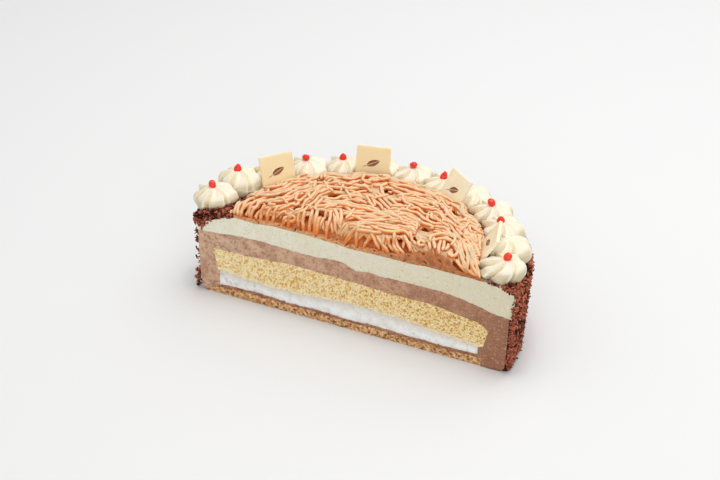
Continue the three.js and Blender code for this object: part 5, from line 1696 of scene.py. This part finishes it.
def plaque_piece(k, material):
    centre, u, n, r = plaque_frame(PLAQUES[k])
    w, t, h = PLAQUE[0] / 2, PLAQUE[1] / 2, PLAQUE[2] / 2
    edge, corner = 0.28, 0.35
    # once round the square, with small round corners
    side, sx, sz = np.linspace(-1, 1, 19), [], []
    for q in range(4):
        c, s = math.cos(q * math.pi / 2), math.sin(q * math.pi / 2)
        pts = [(1.0, v * (1 - corner / w), 0.0, 0.0) for v in side]
        for a in (22.5, 45.0, 67.5):
            pts.append((1 - corner / w + corner / w * math.cos(math.radians(a)), 1 - corner / w + corner / w * math.sin(math.radians(a)), 0.0, 0.0))
        for X, Z, _, _ in pts:
            sx.append(c * X - s * Z)
            sz.append(s * X + c * Z)
    sx, sz = np.array(sx), np.array(sz)
    m = len(sx)
    nudge = 0.14 * fbm(sx * 9, sz * 9, k * 3.0, 3.2, 95, 3)
    # rows run from the middle of the front over the rounded rim to the middle of the back
    seq = [(0.0, -t), (0.3, -t), (0.6, -t), (0.85, -t)]
    for q in np.linspace(0, math.pi / 2, 4):
        seq.append(("rim", -t + edge * (1 - math.cos(q)), edge * (1 - math.sin(q))))
    for q in np.linspace(0, math.pi / 2, 4):
        seq.append(("rim", t - edge * (1 - math.sin(q)), edge * (1 - math.cos(q))))
    seq += [(0.85, t), (0.6, t), (0.3, t), (0.0, t)]
    b = Body()
    prev = None
    first = last = None
    for row in seq:
        if row[0] == "rim":
            inset, d = row[2], row[1]
            X, Z = sx * (w - inset + nudge), sz * (h - inset + nudge)
        else:
            f, d = row
            X, Z = sx * (w - edge + nudge) * f, sz * (h - edge + nudge) * f
        if row[0] == 0.0:
            c = b.add([centre + n * d])[0]
            if first is None:
                first = c
            else:
                last = c
                b.faces(np.stack([prev[:-1], prev[1:], np.full(m, last)], 1))
            continue
        D = d + 0.06 * fbm(X, Z, k * 5.0, 5.0, 96, 2)
        P = centre + X[:, None] * u + Z[:, None] * r + D[:, None] * n
        q = b.add(P)
        q = np.r_[q, q[:1]]
        if prev is None:
            b.faces(np.stack([q[1:], q[:-1], np.full(m, first)], 1))
        else:
            b.grid(np.stack([prev, q], 0))
        prev = q
    return make_piece(f"chocolate_plaque_{k + 1}", b, material, (f"plaque_{k + 1}",), weld=True)


def leaves_piece(material):
    """One small plain leaf on each plaque, slightly raised."""
    b = Body()
    for spec in PLAQUES:
        centre, u, n, r = plaque_frame(spec)
        face = centre - n * (PLAQUE[1] / 2 + 0.02)
        turn = math.radians(24)
        along = np.array([math.cos(turn), math.sin(turn)])
        across = np.array([-along[1], along[0]])

        def place(p2, lift):
            q = p2[0] * along + p2[1] * across
            return face + q[0] * u + q[1] * r - n * lift

        def blob(outline_pts, thick=0.14):
            pts = np.asarray(outline_pts, float)
            k = len(pts)
            low = b.add([place(p, -0.12) for p in pts])
            mid = pts.mean(0)
            hi = b.add([place(mid + (p - mid) * 0.92, thick) for p in pts])
            c = b.add([place(mid, thick + 0.04)])[0]
            lw, hw = np.r_[low, low[:1]], np.r_[hi, hi[:1]]
            b.grid(np.stack([lw, hw], 0))
            b.faces(np.stack([hw[:-1], hw[1:], np.full(k, c)], 1))
            cb = b.add([place(mid, -0.14)])[0]
            b.faces(np.stack([lw[1:], lw[:-1], np.full(k, cb)], 1))
        t = np.linspace(0, 1, 15)
        wide = 1.75 * np.sin(math.pi * t ** 0.85) ** 0.9
        for side in (1, -1):
            edge = [(-4.0 + 8.6 * a, side * (0.16 + w)) for a, w in zip(t, wide)]
            rib = [(-4.0 + 8.6 * a, side * 0.16) for a in t[1:-1][::-1]]
            blob(edge + rib)
        blob([(-6.6, 0.12), (-6.6, -0.12), (-4.1, -0.16), (-4.1, 0.16)])
    return make_piece("plaque_leaves", b, material, weld=False)


# -------------------------------------------------------------- floor, light
def make_stage():
    me = bpy.data.meshes.new("floor")
    s = 6.0
    me.from_pydata([(-s, -s, 0), (s, -s, 0), (s, s, 0), (-s, s, 0)], [], [(0, 1, 2, 3)])
    ob = bpy.data.objects.new("floor", me)
    bpy.context.scene.collection.objects.link(ob)
    m = Mat("floor")
    m.color((0.835, 0.835, 0.833, 1))
    m.put(Roughness=0.7)
    m.b.inputs["Specular IOR Level"].default_value = 0.2
    me.materials.append(m.m)
    world = bpy.data.worlds.new("world")
    bpy.context.scene.world = world
    world.use_nodes = True
    bg = world.node_tree.nodes["Background"]
    bg.inputs[0].default_value = (1.0, 1.0, 1.0, 1)
    bg.inputs[1].default_value = WORLD
    for name, size, at, look, power in LIGHTS:
        d = bpy.data.lights.new(name, "AREA")
        d.shape = "RECTANGLE"
        d.size, d.size_y = size
        d.energy = power
        o = bpy.data.objects.new(name, d)
        bpy.context.scene.collection.objects.link(o)
        o.location = at
        o.rotation_mode = "QUATERNION"
        o.rotation_quaternion = (Vector(look) - Vector(at)).to_track_quat("-Z", "Y")
    bpy.context.scene.view_settings.view_transform = "Standard"


WORLD = 0.575
LIGHTS = [
    ("back_right", (1.0, 0.9), (0.22, 0.34, 1.0), (0.02, 0.02, 0), 2.7),
    ("over", (0.55, 0.55), (0.0, 0.10, 1.05), (0, 0, 0), 1.7),
    ("lamp", (0.14, 0.14), (0.05, 0.0, 1.12), (0, 0, 0), 0.9),
    ("front", (1.2, 0.9), (0.72, -1.25, 0.8), (0, 0, 0.02), 6.5),
    ("back", (1.4, 0.8), (0.2, 1.3, 0.9), (0, 0, 0.02), 3.2),
]


# --------------------------------------------------------------------- build
make_camera()
make_stage()

simple_layer("biscuit", lambda x: 0 * x, W_BISCUIT, R_BISCUIT, R_BISCUIT, 712, 22, relief_biscuit, mat_biscuit(), "biscuit_base")
simple_layer("film", W_BISCUIT, W_FILM, R_FILM, R_FILM, 560, 8, relief_film, mat_film(), "brown_film")
simple_layer("white_cream", W_FILM, W_WHITE, R_WHITE, R_WHITE, 560, 32, relief_white, mat_white(), "white_layer")
simple_layer("sponge", W_WHITE, W_SPONGE, R_SPONGE_LOW, R_SPONGE_TOP, 760, 72, relief_sponge, mat_sponge(), "sponge_layer")
mousse_piece(mat_mousse())
simple_layer("ivory_cream", W_MOUSSE, W_CREAM, R_CREAM_LOW, R_CREAM_TOP, 700, 40, relief_cream, mat_cream(), "cream_layer", edge_in=1.9)

heap_piece(mat_core())
pile = lay_strands()
open_sky = gauss2(pile.h, 9.0)
strands = Body()
for pts, r, step in pile.strands:
    tube(strands, pts, r, pile, open_sky, step=step)
make_piece("chestnut_strand_heap", strands, mat_strands(), ("chestnut_strands",))

flake_core(mat_flakes("flake_core_shade_mat", lin(58, 22, 14), lin(84, 36, 24), lin(34, 12, 7)))
flakes = mat_flakes("flakes_mat", lin(42, 11, 6), lin(212, 122, 92), lin(92, 34, 20))
flakes_piece(flakes)
shavings_piece(mat_flakes("shavings_mat", lin(150, 96, 74), lin(176, 126, 104), lin(140, 88, 68)))

whipped = mat_whipped()
for i in range(len(ROSETTES)):
    rosette_piece(i, whipped)
jelly = mat_jelly()
for k, spec in enumerate([s for s in ROSETTES if s[6]]):
    jelly_piece(k, spec, jelly)
white_chocolate = mat_plaque()
for k in range(4):
    plaque_piece(k, white_chocolate)
leaves_piece(mat_print())
